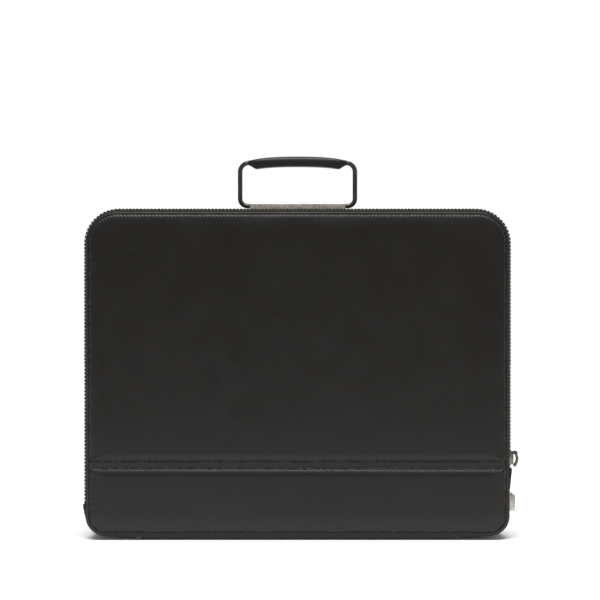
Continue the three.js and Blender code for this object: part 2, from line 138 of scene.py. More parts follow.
def scale_about(hub: Vector, x: float = 1.0, y: float = 1.0, z: float = 1.0) -> None:
    """Scale what is selected about a point in millimetres."""
    bpy.ops.transform.resize(value=(x, y, z), center_override=hub * MM)


def add_object(name: str, maker: Callable, place: Sequence[float] = (0, 0, 0), **settings: object) -> Piece:
    """Add an object with one of Blender's own operators, and leave it alone selected.

    Args:
        name: The object's name.
        maker: The operator.
        place: Where it goes, in millimetres.
        settings: What else the operator is told.

    Returns:
        The object.
    """
    bpy.ops.object.select_all(action="DESELECT")
    maker(location=Vector(place) * MM, **settings)
    made = bpy.context.active_object
    made.name = name
    return made


def pick(piece: Piece, grade: Grade, test: Callable) -> int:
    """Select the points, edges or faces of a piece in edit mode that pass a test.

    Args:
        piece: The piece that is open.
        grade: What to select.
        test: Takes a bmesh vertex, edge or face and says whether it is wanted.

    Returns:
        How many were selected.
    """
    bpy.ops.mesh.select_mode(type=grade.value)
    bpy.ops.mesh.select_all(action="DESELECT")
    shape = bmesh.from_edit_mesh(piece.data)
    stock = {Grade.POINTS: shape.verts, Grade.EDGES: shape.edges, Grade.FACES: shape.faces}[grade]
    wanted = [item for item in stock if test(item)]
    for item in wanted:
        item.select_set(True)
    shape.select_flush_mode()
    bmesh.update_edit_mesh(piece.data)
    return len(wanted)


def start_point(name: str, place: Vector) -> Piece:
    """Start a new piece as one point.

    Args:
        name: The piece's name.
        place: Where the point lies, in millimetres.

    Returns:
        The piece.
    """
    piece = add_object(name, bpy.ops.mesh.primitive_plane_add, place, size=MM)
    with editing(piece):
        take_all()
        bpy.ops.mesh.merge(type="CENTER")
    return piece


def draw_line(name: str, points: Sequence[Vector], closed: bool = True) -> Piece:
    """Draw a line through points, one extrusion after another.

    Args:
        name: The new piece's name.
        points: The points, in millimetres.
        closed: Whether the last point joins the first.

    Returns:
        A piece that is that line.
    """
    line = start_point(name, points[0])
    with editing(line):
        take_all()
        for here, there in zip(points, points[1:]):
            bpy.ops.mesh.extrude_vertices_move(TRANSFORM_OT_translate={"value": tuple((there - here) * MM)})
        if closed:
            pick(line, Grade.POINTS, lambda point: len(point.link_edges) < 2)
            bpy.ops.mesh.edge_face_add()
    return line


@dataclass(frozen=True)
class Straight:
    """A straight leg of a sweep.

    Attributes:
        reach: Where it leads from its start, in millimetres.
        steps: How many lengths it is cut into.
    """

    reach: Vector
    steps: int = 1

    def pull(self) -> None:
        """Extrude what is selected along the leg."""
        for _ in range(self.steps):
            draw_out(*self.reach / self.steps)


@dataclass(frozen=True)
class Bend:
    """A bend of a sweep, in a plane that faces the front.

    Attributes:
        centre: The centre it turns about, in millimetres.
        turn: Degrees, clockwise as seen from the front.
        steps: How many lengths it is cut into.
    """

    centre: Vector
    turn: float
    steps: int

    def pull(self) -> None:
        """Spin what is selected round the bend."""
        bpy.ops.mesh.spin(
            steps=self.steps, angle=-math.radians(self.turn), center=self.centre * MM, axis=(0, 1, 0)
        )


Leg = Straight | Bend


def sweep(name: str, section: Sequence[Vector], legs: Sequence[Leg], loop: bool = False) -> Piece:
    """Pull a closed section along legs.

    Args:
        name: The new piece's name.
        section: The section's points where the sweep starts, in millimetres.
        legs: The legs, in order.
        loop: Whether the last leg comes back to the start; otherwise both ends are filled.

    Returns:
        The swept piece.
    """
    piece = draw_line(name, section)
    with editing(piece):
        bpy.ops.mesh.select_mode(type="EDGE")
        take_all()
        for leg in legs:
            leg.pull()
        if loop:
            take_all()
            bpy.ops.mesh.remove_doubles(threshold=0.02 * MM)
        else:
            close_ends()
    return piece


def apply_modifier(piece: Piece, kind: str, **settings: object) -> None:
    """Add a modifier with these settings to a piece and apply it."""
    select_only(piece)
    modifier = piece.modifiers.new(kind.lower(), kind)
    for field_name, value in settings.items():
        setattr(modifier, field_name, value)
    bpy.ops.object.modifier_apply(modifier=modifier.name)


def repeat_along(piece: Piece, count: int, pitch: float) -> None:
    """Repeat one length of a piece along x, and merge the ends that meet."""
    apply_modifier(
        piece, "ARRAY", count=count, use_relative_offset=False, use_constant_offset=True,
        constant_offset_displace=(pitch * MM, 0, 0), use_merge_vertices=True, merge_threshold=0.01 * MM,
    )


def settle(piece: Piece, crease: float = 40.0, recount: bool = True) -> None:
    """Bring a piece's origin to the frame's, merge its doubles, turn its faces out and smooth them.

    Args:
        piece: The piece.
        crease: The angle in degrees past which an edge stays sharp.
        recount: Whether the faces' directions are worked out again.
    """
    select_only(piece)
    bpy.ops.object.transform_apply(location=True, rotation=True, scale=True)
    with editing(piece):
        take_all()
        bpy.ops.mesh.remove_doubles(threshold=DOUBLES * MM)
        if recount:
            bpy.ops.mesh.normals_make_consistent(inside=False)
    select_only(piece)
    bpy.ops.object.shade_smooth_by_angle(angle=math.radians(crease))


def points_of(piece: Piece) -> np.ndarray:
    """The piece's points in millimetres, one row each."""
    flat = np.empty(len(piece.data.vertices) * 3)
    piece.data.vertices.foreach_get("co", flat)
    return flat.reshape(-1, 3) / MM


def move_points(piece: Piece, points: np.ndarray) -> None:
    """Put the piece's points at new places, in millimetres."""
    piece.data.vertices.foreach_set("co", (points * MM).ravel())
    piece.data.update()


def repeat_shape(
    name: str, template: Piece, places: Sequence[Matrix], seed: int
) -> Piece:
    """Set copies of a small shape at many places, joined as one piece.

    Args:
        name: The new piece's name.
        template: The shape, modelled about the origin; it is removed afterwards.
        places: Where each copy goes, in millimetres.
        seed: Gives each copy its own tone, the same in every run.

    Returns:
        The joined piece, with a tone from 0 to 1 on the faces of each copy.
    """
    shape = points_of(template)
    faces = [tuple(polygon.vertices) for polygon in template.data.polygons]
    sets = np.array([np.array(place) for place in places])
    moved = np.einsum("kij,nj->kni", sets[:, :3, :3], shape) + sets[:, None, :3, 3]
    joined = [tuple(i + k * len(shape) for i in face) for k in range(len(places)) for face in faces]
    mesh = bpy.data.meshes.new(name)
    mesh.from_pydata((moved.reshape(-1, 3) * MM).tolist(), [], joined)
    tones = np.repeat(np.random.default_rng(seed).random(len(places)), len(faces))
    mesh.attributes.new("tone", "FLOAT", "FACE").data.foreach_set("value", tones)
    piece = bpy.data.objects.new(name, mesh)
    bpy.context.collection.objects.link(piece)
    bpy.data.objects.remove(template)
    return piece


def copy_of_node(name: str, node: str) -> Piece:
    """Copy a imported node's mesh into a new piece, with its loose triangles merged.

    Args:
        name: The new piece's name.
        node: The node that is copied.

    Returns:
        The copy, clean and with its flat faces whole.
    """
    piece = bpy.data.objects.new(name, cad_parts[node].data.copy())
    bpy.context.collection.objects.link(piece)
    with editing(piece):
        take_all()
        bpy.ops.mesh.remove_doubles(threshold=DOUBLES * MM)
        bpy.ops.mesh.dissolve_limited(angle_limit=math.radians(1.0))
    return piece


@dataclass(frozen=True)
class Stretch:
    """One side or corner of the case's outline.

    Attributes:
        start: Where it starts, as x and z in millimetres.
        heading: Its direction at the start, in degrees clockwise from straight up.
        length: Its length in millimetres.
        radius: The corner's radius in millimetres, or 0 for a side.
    """

    start: Pair
    heading: float
    length: float
    radius: float = 0.0


@dataclass(frozen=True)
class CaseOutline:
    """The case's outer edge, walked clockwise as seen from the front from the middle of the left side.

    Attributes:
        left: The left side's x, and so on for the other three, in millimetres.
        top_radius: The radius of the two upper corners.
        base_radius: The radius of the two lower corners.
        corner_step: The most that a corner turns in one step, in degrees.
        margin: How far in from the edge the binding is sewn.
        top_gain: How much less that is along the top.
    """

    left: float
    right: float
    base: float
    top: float
    top_radius: float = 29.0
    base_radius: float = 17.0
    corner_step: float = 6.0
    margin: float = 2.85
    top_gain: float = 0.45

    @property
    def middle(self) -> float:
        """The height at which the walk starts."""
        return (self.base + self.top) / 2

    @property
    def axis(self) -> float:
        """The x midway between the two sides."""
        return (self.left + self.right) / 2

    @property
    def stretches(self) -> list[Stretch]:
        """The sides and corners in the order of the walk."""
        high, low = self.top_radius, self.base_radius
        corner, foot = high * math.pi / 2, low * math.pi / 2
        across, under = self.right - self.left - 2 * high, self.right - self.left - 2 * low
        down = self.top - high - self.base - low
        return [
            Stretch((self.left, self.middle), 0, self.top - high - self.middle),
            Stretch((self.left, self.top - high), 0, corner, high),
            Stretch((self.left + high, self.top), 90, across),
            Stretch((self.right - high, self.top), 90, corner, high),
            Stretch((self.right, self.top - high), 180, down),
            Stretch((self.right, self.base + low), 180, foot, low),
            Stretch((self.right - low, self.base), 270, under),
            Stretch((self.left + low, self.base), 270, foot, low),
            Stretch((self.left, self.base + low), 360, self.middle - self.base - low),
        ]

    @property
    def length(self) -> float:
        """The whole walk."""
        return sum(stretch.length for stretch in self.stretches)

    def sewn(self, height: float | np.ndarray) -> float | np.ndarray:
        """How far in from the edge the binding is sewn at one height, or at each of many."""
        share = np.clip((height - self.top + self.top_radius) / self.top_radius, 0, 1)
        return self.margin - self.top_gain * share

    def on_left(self, height: float) -> float:
        """The distance at which the walk passes this height on the left side, before or after 0."""
        return height - self.middle

    def on_right(self, height: float) -> float:
        """The distance at which the walk passes this height on the right side."""
        return sum(stretch.length for stretch in self.stretches[:4]) + self.top - self.top_radius - height

    def at(self, distance: float, out: float = 0.0, depth: float = 0.0) -> Matrix:
        """Find a place beside the outline.

        Args:
            distance: How far along the walk.
            out: How far outside the outline.
            depth: The place's y.

        Returns:
            A matrix in millimetres whose X runs on along the walk, Y to the back and Z outwards.
        """
        distance %= self.length
        for stretch in self.stretches:
            if distance <= stretch.length:
                break
            distance -= stretch.length
        turned = math.degrees(distance / stretch.radius) if stretch.radius else 0.0
        start = math.radians(stretch.heading)
        angle = math.radians(stretch.heading + turned)
        run = Vector((math.sin(angle), 0, math.cos(angle)))
        normal = Vector((-math.cos(angle), 0, math.sin(angle)))
        place = Vector((stretch.start[0], depth, stretch.start[1]))
        if stretch.radius:
            place -= Vector((-math.cos(start), 0, math.sin(start))) * stretch.radius
            place += normal * (stretch.radius + out)
        else:
            place += run * distance + normal * out
        matrix = Matrix((run, (0, 1, 0), normal)).transposed().to_4x4()
        matrix.translation = place
        return matrix

    def section(self, distance: float, shape: Sequence[Pair]) -> list[Vector]:
        """Stand a section of (out, y) pairs up beside the outline at a distance."""
        return [self.at(distance, out, depth).translation for out, depth in shape]

    def legs(self, start: float, end: float) -> list[Leg]:
        """Cut the walk between two distances into legs for a sweep.

        Args:
            start: Where the sweep starts; it may be before 0.
            end: Where it ends; it may be past the whole walk.

        Returns:
            The legs, in order.
        """
        found: list[Leg] = []
        for lap in (-1, 0, 1):
            passed = lap * self.length
            for stretch in self.stretches:
                low, high = max(start, passed), min(end, passed + stretch.length)
                passed += stretch.length
                if high - low > 0.01:
                    found.append(self.leg(stretch, high - low))
        return found

    def leg(self, stretch: Stretch, length: float) -> Leg:
        """Make one leg of a stretch, over some or all of its length."""
        angle = math.radians(stretch.heading)
        if not stretch.radius:
            return Straight(Vector((math.sin(angle), 0, math.cos(angle))) * length)
        turn = math.degrees(length / stretch.radius)
        centre = Vector((
            stretch.start[0] + math.cos(angle) * stretch.radius,
            0,
            stretch.start[1] - math.sin(angle) * stretch.radius,
        ))
        return Bend(centre, turn, max(1, math.ceil(turn / self.corner_step - 0.01)))

    def unroll(self, points: np.ndarray) -> tuple[np.ndarray, np.ndarray]:
        """Find where points lie along the walk and how far outside it.

        Args:
            points: Rows of x, y and z in millimetres.

        Returns:
            Each point's distance along the walk, and its distance outside the outline.
        """
        x, z = points[:, 0], points[:, 2]
        best = np.full(len(points), np.inf)
        along, outside = np.zeros(len(points)), np.zeros(len(points))
        passed = 0.0
        for stretch in self.stretches:
            angle = math.radians(stretch.heading)
            run, normal = (math.sin(angle), math.cos(angle)), (-math.cos(angle), math.sin(angle))
            across, up = x - stretch.start[0], z - stretch.start[1]
            if stretch.radius:
                across, up = across + normal[0] * stretch.radius, up + normal[1] * stretch.radius
                ahead = across * run[0] + up * run[1]
                away = across * normal[0] + up * normal[1]
                turned = np.arctan2(ahead, away)
                inside = (ahead >= 0) & (away >= 0)
                travel, out = turned * stretch.radius, np.hypot(across, up) - stretch.radius
            else:
                travel = across * run[0] + up * run[1]
                out = across * normal[0] + up * normal[1]
                inside = (travel >= 0) & (travel <= stretch.length)
            closer = inside & (np.abs(out) < best)
            best = np.where(closer, np.abs(out), best)
            along = np.where(closer, passed + travel, along)
            outside = np.where(closer, out, outside)
            passed += stretch.length
        return along, outside


class NodeBoard:
    """A material's node tree, with short ways to add and join its nodes."""

    def __init__(self, name: str) -> None:
        """Start a material with a bare Principled shader.

        Args:
            name: The material's name.
        """
        self.material = bpy.data.materials.new(name)
        self.material.use_nodes = True
        self.tree = self.material.node_tree
        self.tree.nodes.clear()
        self.shader = self.tree.nodes.new("ShaderNodeBsdfPrincipled")
        output = self.tree.nodes.new("ShaderNodeOutputMaterial")
        self.tree.links.new(self.shader.outputs[0], output.inputs[0])

    def set(self, **values: object) -> None:
        """Set the shader's own sockets; an underscore stands for a space."""
        for socket, value in values.items():
            self.shader.inputs[socket.replace("_", " ")].default_value = value

    def join(self, source: Socket, target: Socket) -> None:
        """Link one socket to another."""
        self.tree.links.new(source, target)

    def feed(self, socket: str, source: Socket) -> None:
        """Link a source to one of the shader's sockets."""
        self.join(source, self.shader.inputs[socket])

    def object_point(self) -> Socket:
        """The place on the piece, in metres."""
        return self.tree.nodes.new("ShaderNodeTexCoord").outputs["Object"]

    def run_point(self) -> Socket:
        """The place on a swept piece: along it and across it, in metres."""
        return self.tree.nodes.new("ShaderNodeTexCoord").outputs["UV"]

    def tone(self) -> Socket:
        """The tone that each copy of a repeated shape carries."""
        node = self.tree.nodes.new("ShaderNodeAttribute")
        node.attribute_name = "tone"
        return node.outputs["Fac"]

    def stretched(self, point: Socket, scale: Sequence[float]) -> Socket:
        """The place scaled apart along each axis."""
        node = self.tree.nodes.new("ShaderNodeMapping")
        node.inputs["Scale"].default_value = tuple(scale)
        self.join(point, node.inputs["Vector"])
        return node.outputs["Vector"]

    def noise(self, point: Socket, size: float, detail: float = 2.0) -> Socket:
        """Soft random patches.

        Args:
            point: Where it reads.
            size: The patches' size in millimetres.
            detail: How many finer layers it has.

        Returns:
            A value about 0.5.
        """
        node = self.tree.nodes.new("ShaderNodeTexNoise")
        node.inputs["Scale"].default_value = 1 / (size * MM)
        node.inputs["Detail"].default_value = detail
        self.join(point, node.inputs["Vector"])
        return node.outputs["Fac"]

    def cells(self, point: Socket, size: float, edges: bool = True) -> Socket:
        """Random cells.

        Args:
            point: Where it reads.
            size: A cell's size in millimetres.
            edges: Whether it gives the distance to a cell's edge, and not to its middle.

        Returns:
            The distance, in cells.
        """
        node = self.tree.nodes.new("ShaderNodeTexVoronoi")
        node.feature = "DISTANCE_TO_EDGE" if edges else "F1"
        node.inputs["Scale"].default_value = 1 / (size * MM)
        self.join(point, node.inputs["Vector"])
        return node.outputs["Distance"]

    def ranged(
        self, value: Socket, low: float, high: float, start: float, end: float
    ) -> Socket:
        """Map a value from low..high to start..end, and hold it there outside."""
        node = self.tree.nodes.new("ShaderNodeMapRange")
        for socket, number in zip(("From Min", "From Max", "To Min", "To Max"), (low, high, start, end)):
            node.inputs[socket].default_value = number
        self.join(value, node.inputs["Value"])
        return node.outputs["Result"]

    def math(self, operation: str, *values: object) -> Socket:
        """Join sockets or numbers with a math operation."""
        node = self.tree.nodes.new("ShaderNodeMath")
        node.operation = operation
        for socket, value in zip(node.inputs, values):
            if isinstance(value, Socket):
                self.join(value, socket)
            else:
                socket.default_value = value
        return node.outputs[0]

    def blend(
        self, factor: Socket, first: Sequence[float], second: Sequence[float]
    ) -> Socket:
        """Mix two colours by a factor."""
        node = self.tree.nodes.new("ShaderNodeMix")
        node.data_type = "RGBA"
        node.inputs["A"].default_value = (*first, 1)
        node.inputs["B"].default_value = (*second, 1)
        self.join(factor, node.inputs["Factor"])
        return node.outputs["Result"]

    def split(self, point: Socket) -> tuple[Socket, ...]:
        """The place's three numbers."""
        node = self.tree.nodes.new("ShaderNodeSeparateXYZ")
        self.join(point, node.inputs[0])
        return tuple(node.outputs)

    def relief(self, *layers: tuple[Socket, float]) -> None:
        """Raise the surface by layers.

        Args:
            layers: Each a height from 0 to 1, and how high 1 is in millimetres.
        """
        normal = None
        for height, depth in layers:
            node = self.tree.nodes.new("ShaderNodeBump")
            node.inputs["Strength"].default_value = 1
            node.inputs["Distance"].default_value = depth * MM
            self.join(height, node.inputs["Height"])
            if normal is not None:
                self.join(normal, node.inputs["Normal"])
            normal = node.outputs["Normal"]
        self.feed("Normal", normal)


@dataclass(frozen=True)
class Leather:
    """Black calf leather: fine pebbled grain, soft hollows and a satin finish.

    Attributes:
        name: The finish's name.
        dark: The colour in the grain's valleys.
        light: The colour on its tops.
        gloss: The least and the most roughness.
        grain: The grain's size in millimetres.
        depth: The grain's depth in millimetres.
        swell: How much the surface rolls over a few centimetres, in millimetres.
        specular: How strongly it mirrors.
    """

    name: str = "calf_leather"
    dark: Colour = (0.0045, 0.0041, 0.0038)
    light: Colour = (0.0082, 0.0075, 0.0070)
    gloss: Pair = (0.34, 0.43)
    grain: float = 1.1
    depth: float = 0.045
    swell: float = 0.35
    specular: float = 0.38

    def make(self) -> bpy.types.Material:
        """Build the material."""
        board = NodeBoard(self.name)
        point = board.object_point()
        pebbles = board.ranged(board.cells(point, self.grain), 0.0, 0.32, 0.0, 1.0)
        pores = board.noise(point, 0.45, 3.0)
        patches = board.noise(point, 26.0, 3.0)
        rolls = board.noise(point, 60.0, 1.0)
        worn = board.math("MULTIPLY", pebbles, board.ranged(patches, 0.3, 0.7, 0.55, 1.0))
        board.feed("Base Color", board.blend(worn, self.dark, self.light))
        low, high = self.gloss
        board.feed("Roughness", board.ranged(patches, 0.3, 0.7, low, high))
        board.set(Specular_IOR_Level=self.specular, IOR=1.5)
        board.relief((rolls, self.swell * 4), (pores, self.depth * 0.6), (pebbles, self.depth))
        return board.material


@dataclass(frozen=True)
class Thread:
    """Black twisted waxed thread, with a painted highlight on its strands.

    Attributes:
        name: The finish's name.
        dark: The colour between the strands.
        light: The colour on the strands: a painted highlight, a grey far lighter than the black thread, so
            the stitches show as bright marks.
        gloss: The least and the most roughness.
    """

    name: str = "black_thread"
    dark: Colour = (0.01, 0.0095, 0.009)
    # Painted highlight: a grey on the black thread's strands, so the stitches show bright.
    light: Colour = (0.19, 0.18, 0.168)
    gloss: Pair = (0.5, 0.7)

    def make(self) -> bpy.types.Material:
        """Build the material."""
        board = NodeBoard(self.name)
        point = board.object_point()
        fibres = board.noise(point, 0.22, 2.0)
        # The strands mix the thread's own black with the painted highlight, by fibre noise and each stitch's
        # random tone.
        strands = board.math("MULTIPLY", fibres, board.tone())
        board.feed("Base Color", board.blend(strands, self.dark, self.light))
        board.feed("Roughness", board.ranged(fibres, 0.3, 0.7, *self.gloss))
        board.relief((fibres, 0.05))
        return board.material


@dataclass(frozen=True)
class WovenTape:
    """Zip tape in a fine twill.

    Attributes:
        name: The finish's name.
        dark: The colour between the yarns.
        light: The colour on the yarns.
        yarn: The yarns' spacing in millimetres.
    """

    name: str = "twill_tape"
    dark: Colour = (0.005, 0.005, 0.0052)
    light: Colour = (0.022, 0.0215, 0.021)
    yarn: float = 0.55

    def make(self) -> bpy.types.Material:
        """Build the material."""
        board = NodeBoard(self.name)
        along, across, _ = board.split(board.run_point())
        turn = 2 * math.pi / (self.yarn * MM)
        warp = board.math("SINE", board.math("MULTIPLY", across, turn))
        lean = board.math("ADD", along, board.math("MULTIPLY", across, 0.8))
        weft = board.math("SINE", board.math("MULTIPLY", lean, turn))
        weave = board.ranged(board.math("MULTIPLY", warp, weft), -1.0, 1.0, 0.0, 1.0)
        fuzz = board.noise(board.object_point(), 0.3, 2.0)
        board.feed("Base Color", board.blend(board.math("MULTIPLY", weave, fuzz), self.dark, self.light))
        board.feed("Roughness", board.ranged(weave, 0.0, 1.0, 0.9, 0.7))
        board.set(Specular_IOR_Level=0.3, Sheen_Weight=0.15, Sheen_Roughness=0.5)
        board.relief((fuzz, 0.04), (weave, 0.12))
        return board.material


@dataclass(frozen=True)
class Metal:
    """Plated metal with fine wear.

    Attributes:
        name: The finish's name.
        dull: The colour where it has dulled.
        bright: The colour where it is rubbed bright.
        gloss: The least and the most roughness.
        scratch: The depth of its fine scratches in millimetres.
        toned: Whether each copy of a repeated shape has its own tone.
        brushed: The scratches' spacing along x, y and z, relative to each other.
    """

    name: str
    dull: Colour
    bright: Colour
    gloss: Pair = (0.22, 0.38)
    scratch: float = 0.006
    toned: bool = False
    brushed: tuple[float, float, float] = (1.0, 1.0, 1.0)

    def make(self) -> bpy.types.Material:
        """Build the material."""
        board = NodeBoard(self.name)
        point = board.object_point()
        tarnish = board.noise(point, 3.5, 4.0)
        lines = board.noise(board.stretched(point, self.brushed), 0.5, 3.0)
        worn = board.ranged(tarnish, 0.35, 0.65, 0.0, 1.0)
        if self.toned:
            worn = board.math("MULTIPLY", board.math("ADD", worn, board.tone()), 0.5)
        board.feed("Base Color", board.blend(worn, self.dull, self.bright))
        board.feed("Roughness", board.ranged(lines, 0.3, 0.7, self.gloss[1], self.gloss[0]))
        board.set(Metallic=1.0)
        board.relief((tarnish, self.scratch * 4), (lines, self.scratch))
        return board.material


@dataclass(frozen=True)
class Coating:
    """Glossy black coating on wire, with faint orange peel.

    Attributes:
        name: The finish's name.
        base: The colour of its hollows.
        rubbed: The colour where it is rubbed.
    """

    name: str = "black_coating"
    base: Colour = (0.014, 0.013, 0.012)
    rubbed: Colour = (0.03, 0.0275, 0.025)

    def make(self) -> bpy.types.Material:
        """Build the material."""
        board = NodeBoard(self.name)
        point = board.object_point()
        peel = board.noise(point, 0.9, 2.0)
        rub = board.ranged(board.noise(point, 9.0, 3.0), 0.4, 0.7, 0.0, 1.0)
        board.feed("Base Color", board.blend(rub, self.base, self.rubbed))
        board.feed("Roughness", board.ranged(rub, 0.0, 1.0, 0.24, 0.4))
        board.set(IOR=1.5, Coat_Weight=0.4, Coat_Roughness=0.12)
        board.relief((peel, 0.02))
        return board.material


@dataclass(frozen=True)
class Ground:
    """The plain pale floor.

    Attributes:
        name: The finish's name.
        shade: Its colour.
        lift: How strongly it glows, which keeps shadows faint.
    """

    name: str = "pale_floor"
    shade: Colour = (0.9, 0.9, 0.9)
    lift: float = 0.02

    def make(self) -> bpy.types.Material:
        """Build the material."""
        board = NodeBoard(self.name)
        board.set(Base_Color=(*self.shade, 1), Roughness=0.9, Specular_IOR_Level=0.1)
        board.set(Emission_Color=(1, 1, 1, 1), Emission_Strength=self.lift)
        return board.material


Finish = Leather | Thread | WovenTape | Metal | Coating | Ground
CASE_LEATHER = Leather()
BINDING_LEATHER = Leather("binding_leather", gloss=(0.4, 0.5), grain=0.9, depth=0.035, swell=0.12)
GRIP_LEATHER = Leather(
    "grip_leather", (0.005, 0.0048, 0.0046), (0.008, 0.0075, 0.007), (0.44, 0.54),
    grain=0.8, depth=0.02, swell=0.1,
)
THREAD = Thread()
TWILL = WovenTape()
TOOTH_METAL = Metal("antique_teeth", (0.035, 0.031, 0.026), (0.125, 0.112, 0.095), (0.42, 0.58), toned=True)
STUD_METAL = Metal("antique_stud", (0.07, 0.064, 0.057), (0.22, 0.2, 0.18), (0.3, 0.46))
NICKEL = Metal("warm_nickel", (0.40, 0.375, 0.34), (0.60, 0.565, 0.52), (0.26, 0.42))
SLIDER_METAL = Metal("aged_nickel", (0.10, 0.094, 0.082), (0.26, 0.246, 0.222), (0.28, 0.44))
BAR_METAL = Metal("ribbed_nickel", (0.5, 0.475, 0.442), (0.74, 0.705, 0.66), (0.42, 0.58))
COATING = Coating()


class PaintShelf:
    """Keeps each finish's material, so that it is made once."""

    def __init__(self) -> None:
        """Start with no materials."""
        self.materials: dict[str, bpy.types.Material] = {}

    def paint(self, piece: Piece, finish: Finish) -> None:
        """Give a piece a finish all over."""
        if finish.name not in self.materials:
            self.materials[finish.name] = finish.make()
        piece.data.materials.clear()
        piece.data.materials.append(self.materials[finish.name])


SHELF = PaintShelf()


def hand_over(
    piece: Piece, finish: Finish, body: Body = Body.CASE, stands_for: Sequence[str] = ()
) -> Piece:
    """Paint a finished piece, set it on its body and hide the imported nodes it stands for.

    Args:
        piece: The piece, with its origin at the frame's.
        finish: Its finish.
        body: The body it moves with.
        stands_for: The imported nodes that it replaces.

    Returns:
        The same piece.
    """
    piece.data.name = piece.name
    SHELF.paint(piece, finish)
    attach(piece, body.value)
    if stands_for:
        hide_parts(*stands_for)
    log.info("%s: %d faces on %s", piece.name, len(piece.data.polygons), body.value)
    return piece


def mirrored(shape: Sequence[Pair]) -> list[Pair]:
    """The same (out, y) section on the other side of the case's middle."""
    return [(out, -depth) for out, depth in shape]


def lay_run(piece: Piece, outline: CaseOutline) -> None:
    """Give a swept piece a UV map in metres: along the outline, and across it.

    Args:
        piece: The piece, settled.
        outline: The outline that it follows.
    """
    points = points_of(piece)
    along, out = outline.unroll(points)
    corners = np.empty(len(piece.data.loops), dtype=np.int64)
    piece.data.loops.foreach_get("vertex_index", corners)
    pairs = np.stack([along[corners], out[corners] - points[corners, 1]], axis=1) * MM
    layer = piece.data.uv_layers.new(name="run")
    layer.data.foreach_set("uv", pairs.ravel())


class Side(Enum):
    """Which way a stitch shows, as degrees turned about its run from the front."""

    FRONT = 0
    REAR = 180
    OUTER = -90


@dataclass(frozen=True)
class Stitch:
    """A stitch of waxed thread, an arch between its two holes.

    Attributes:
        pitch: From one stitch to the next, in millimetres.
        length: From hole to hole.
        rise: How high the arch stands.
        radius: The thread's radius.
        lean: How far each is turned from its row's line, in degrees.
        lean_spread: How much the lean varies.
        roll_spread: How much each rolls about its own line, in degrees.
        sides: How many sides the thread has.
        steps: How many lengths the arch is cut into.
    """

    pitch: float = 3.35
    length: float = 2.6
    rise: float = 0.4
    radius: float = 0.3
    lean: float = 4.0
    lean_spread: float = 1.5
    roll_spread: float = 3.0
    sides: int = 7
    steps: int = 4

    def template(self) -> Piece:
        """Model one stitch about the origin, along X and standing towards the front."""
        half = self.length / 2
        bend = (half * half + self.rise * self.rise) / (2 * self.rise)
        hub = bend - self.rise
        tangent = Vector((hub, -half, 0)).normalized()
        turn = Vector((0, 0, 1)).rotation_difference(tangent).to_euler()
        piece = add_object(
            "stitch", bpy.ops.mesh.primitive_circle_add, (-half, 0, 0),
            vertices=self.sides, radius=self.radius * MM, rotation=tuple(turn),
        )
        with editing(piece):
            take_all()
            angle = -2 * math.asin(half / bend)
            bpy.ops.mesh.spin(steps=self.steps, angle=angle, center=(0, hub * MM, 0), axis=(0, 0, 1))
            close_ends()
        settle(piece, 60.0)
        return piece

    def row(self, name: str, places: Sequence[Matrix], side: Side, seed: int) -> Piece:
        """Sew stitches at these places.

        Args:
            name: The new piece's name.
            places: The stitches' middles, in millimetres, with X along the row.
            side: Which way they show.
            seed: Varies their lean and tone.

        Returns:
            The finished row.
        """
        chance = np.random.default_rng(seed)
        leans = chance.normal(self.lean, self.lean_spread, len(places))
        turned = [
            place
            @ Matrix.Rotation(math.radians(side.value + chance.normal(0, self.roll_spread)), 4, "X")
            @ Matrix.Rotation(math.radians(lean), 4, "Y")
            for place, lean in zip(places, leans)
        ]
        piece = repeat_shape(name, self.template(), turned, seed)
        select_only(piece)
        bpy.ops.object.shade_smooth()
        return hand_over(piece, THREAD)


@dataclass(frozen=True)
class EdgeBinding:
    """The rolled leather edge round each face, sewn through a groove.

    Attributes:
        outline: The case's outer edge.
        section: The front edging's section as (out, y) in millimetres.
        groove: The y at which the stitches lie.
        stitch: The stitch.
    """

    outline: CaseOutline
    section: tuple[Pair, ...] = (
        (-3.4, -30.1), (-0.3, -30.1), (0.0, -30.4), (0.0, -31.4), (-0.1, -31.85), (-0.35, -32.2),
        (-0.75, -32.45), (-1.3, -32.5), (-1.7, -32.35), (-2.05, -32.1), (-2.35, -31.95), (-2.7, -31.85),
        (-3.4, -31.8),
    )
    groove: float = -32.2
    stitch: Stitch = Stitch()

    @property
    def count(self) -> int:
        """How many stitches go round."""
        return round(self.outline.length / self.stitch.pitch)

    @property
    def spacing(self) -> float:
        """The true distance between stitches, so that they close up."""
        return self.outline.length / self.count

    def edging(self, name: str, node: str, shape: Sequence[Pair]) -> Piece:
        """Sweep one edging all the way round.

        Args:
            name: The new piece's name.
            node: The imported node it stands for.
            shape: Its section.

        Returns:
            The finished edging.
        """
        outline = self.outline
        piece = sweep(name, outline.section(0.0, shape), outline.legs(0.0, outline.length), loop=True)
        settle(piece, 50.0)
        return hand_over(piece, BINDING_LEATHER, stands_for=[node])

    def build(self) -> None:
        """Make both edgings and their stitches."""
        self.edging("edge_binding_front", "front_binding", self.section)
        self.edging("edge_binding_back", "back_binding", mirrored(self.section))
        heights = [self.outline.at(k * self.spacing).translation.z for k in range(self.count)]
        insets = [self.outline.sewn(height) for height in heights]
        for name, side, y, seed in (
            ("stitches_front_edge", Side.FRONT, self.groove, 11),
            ("stitches_back_edge", Side.REAR, -self.groove, 12),
        ):
            places = [self.outline.at(k * self.spacing, -inset, y) for k, inset in enumerate(insets)]
            self.stitch.row(name, places, side, seed)


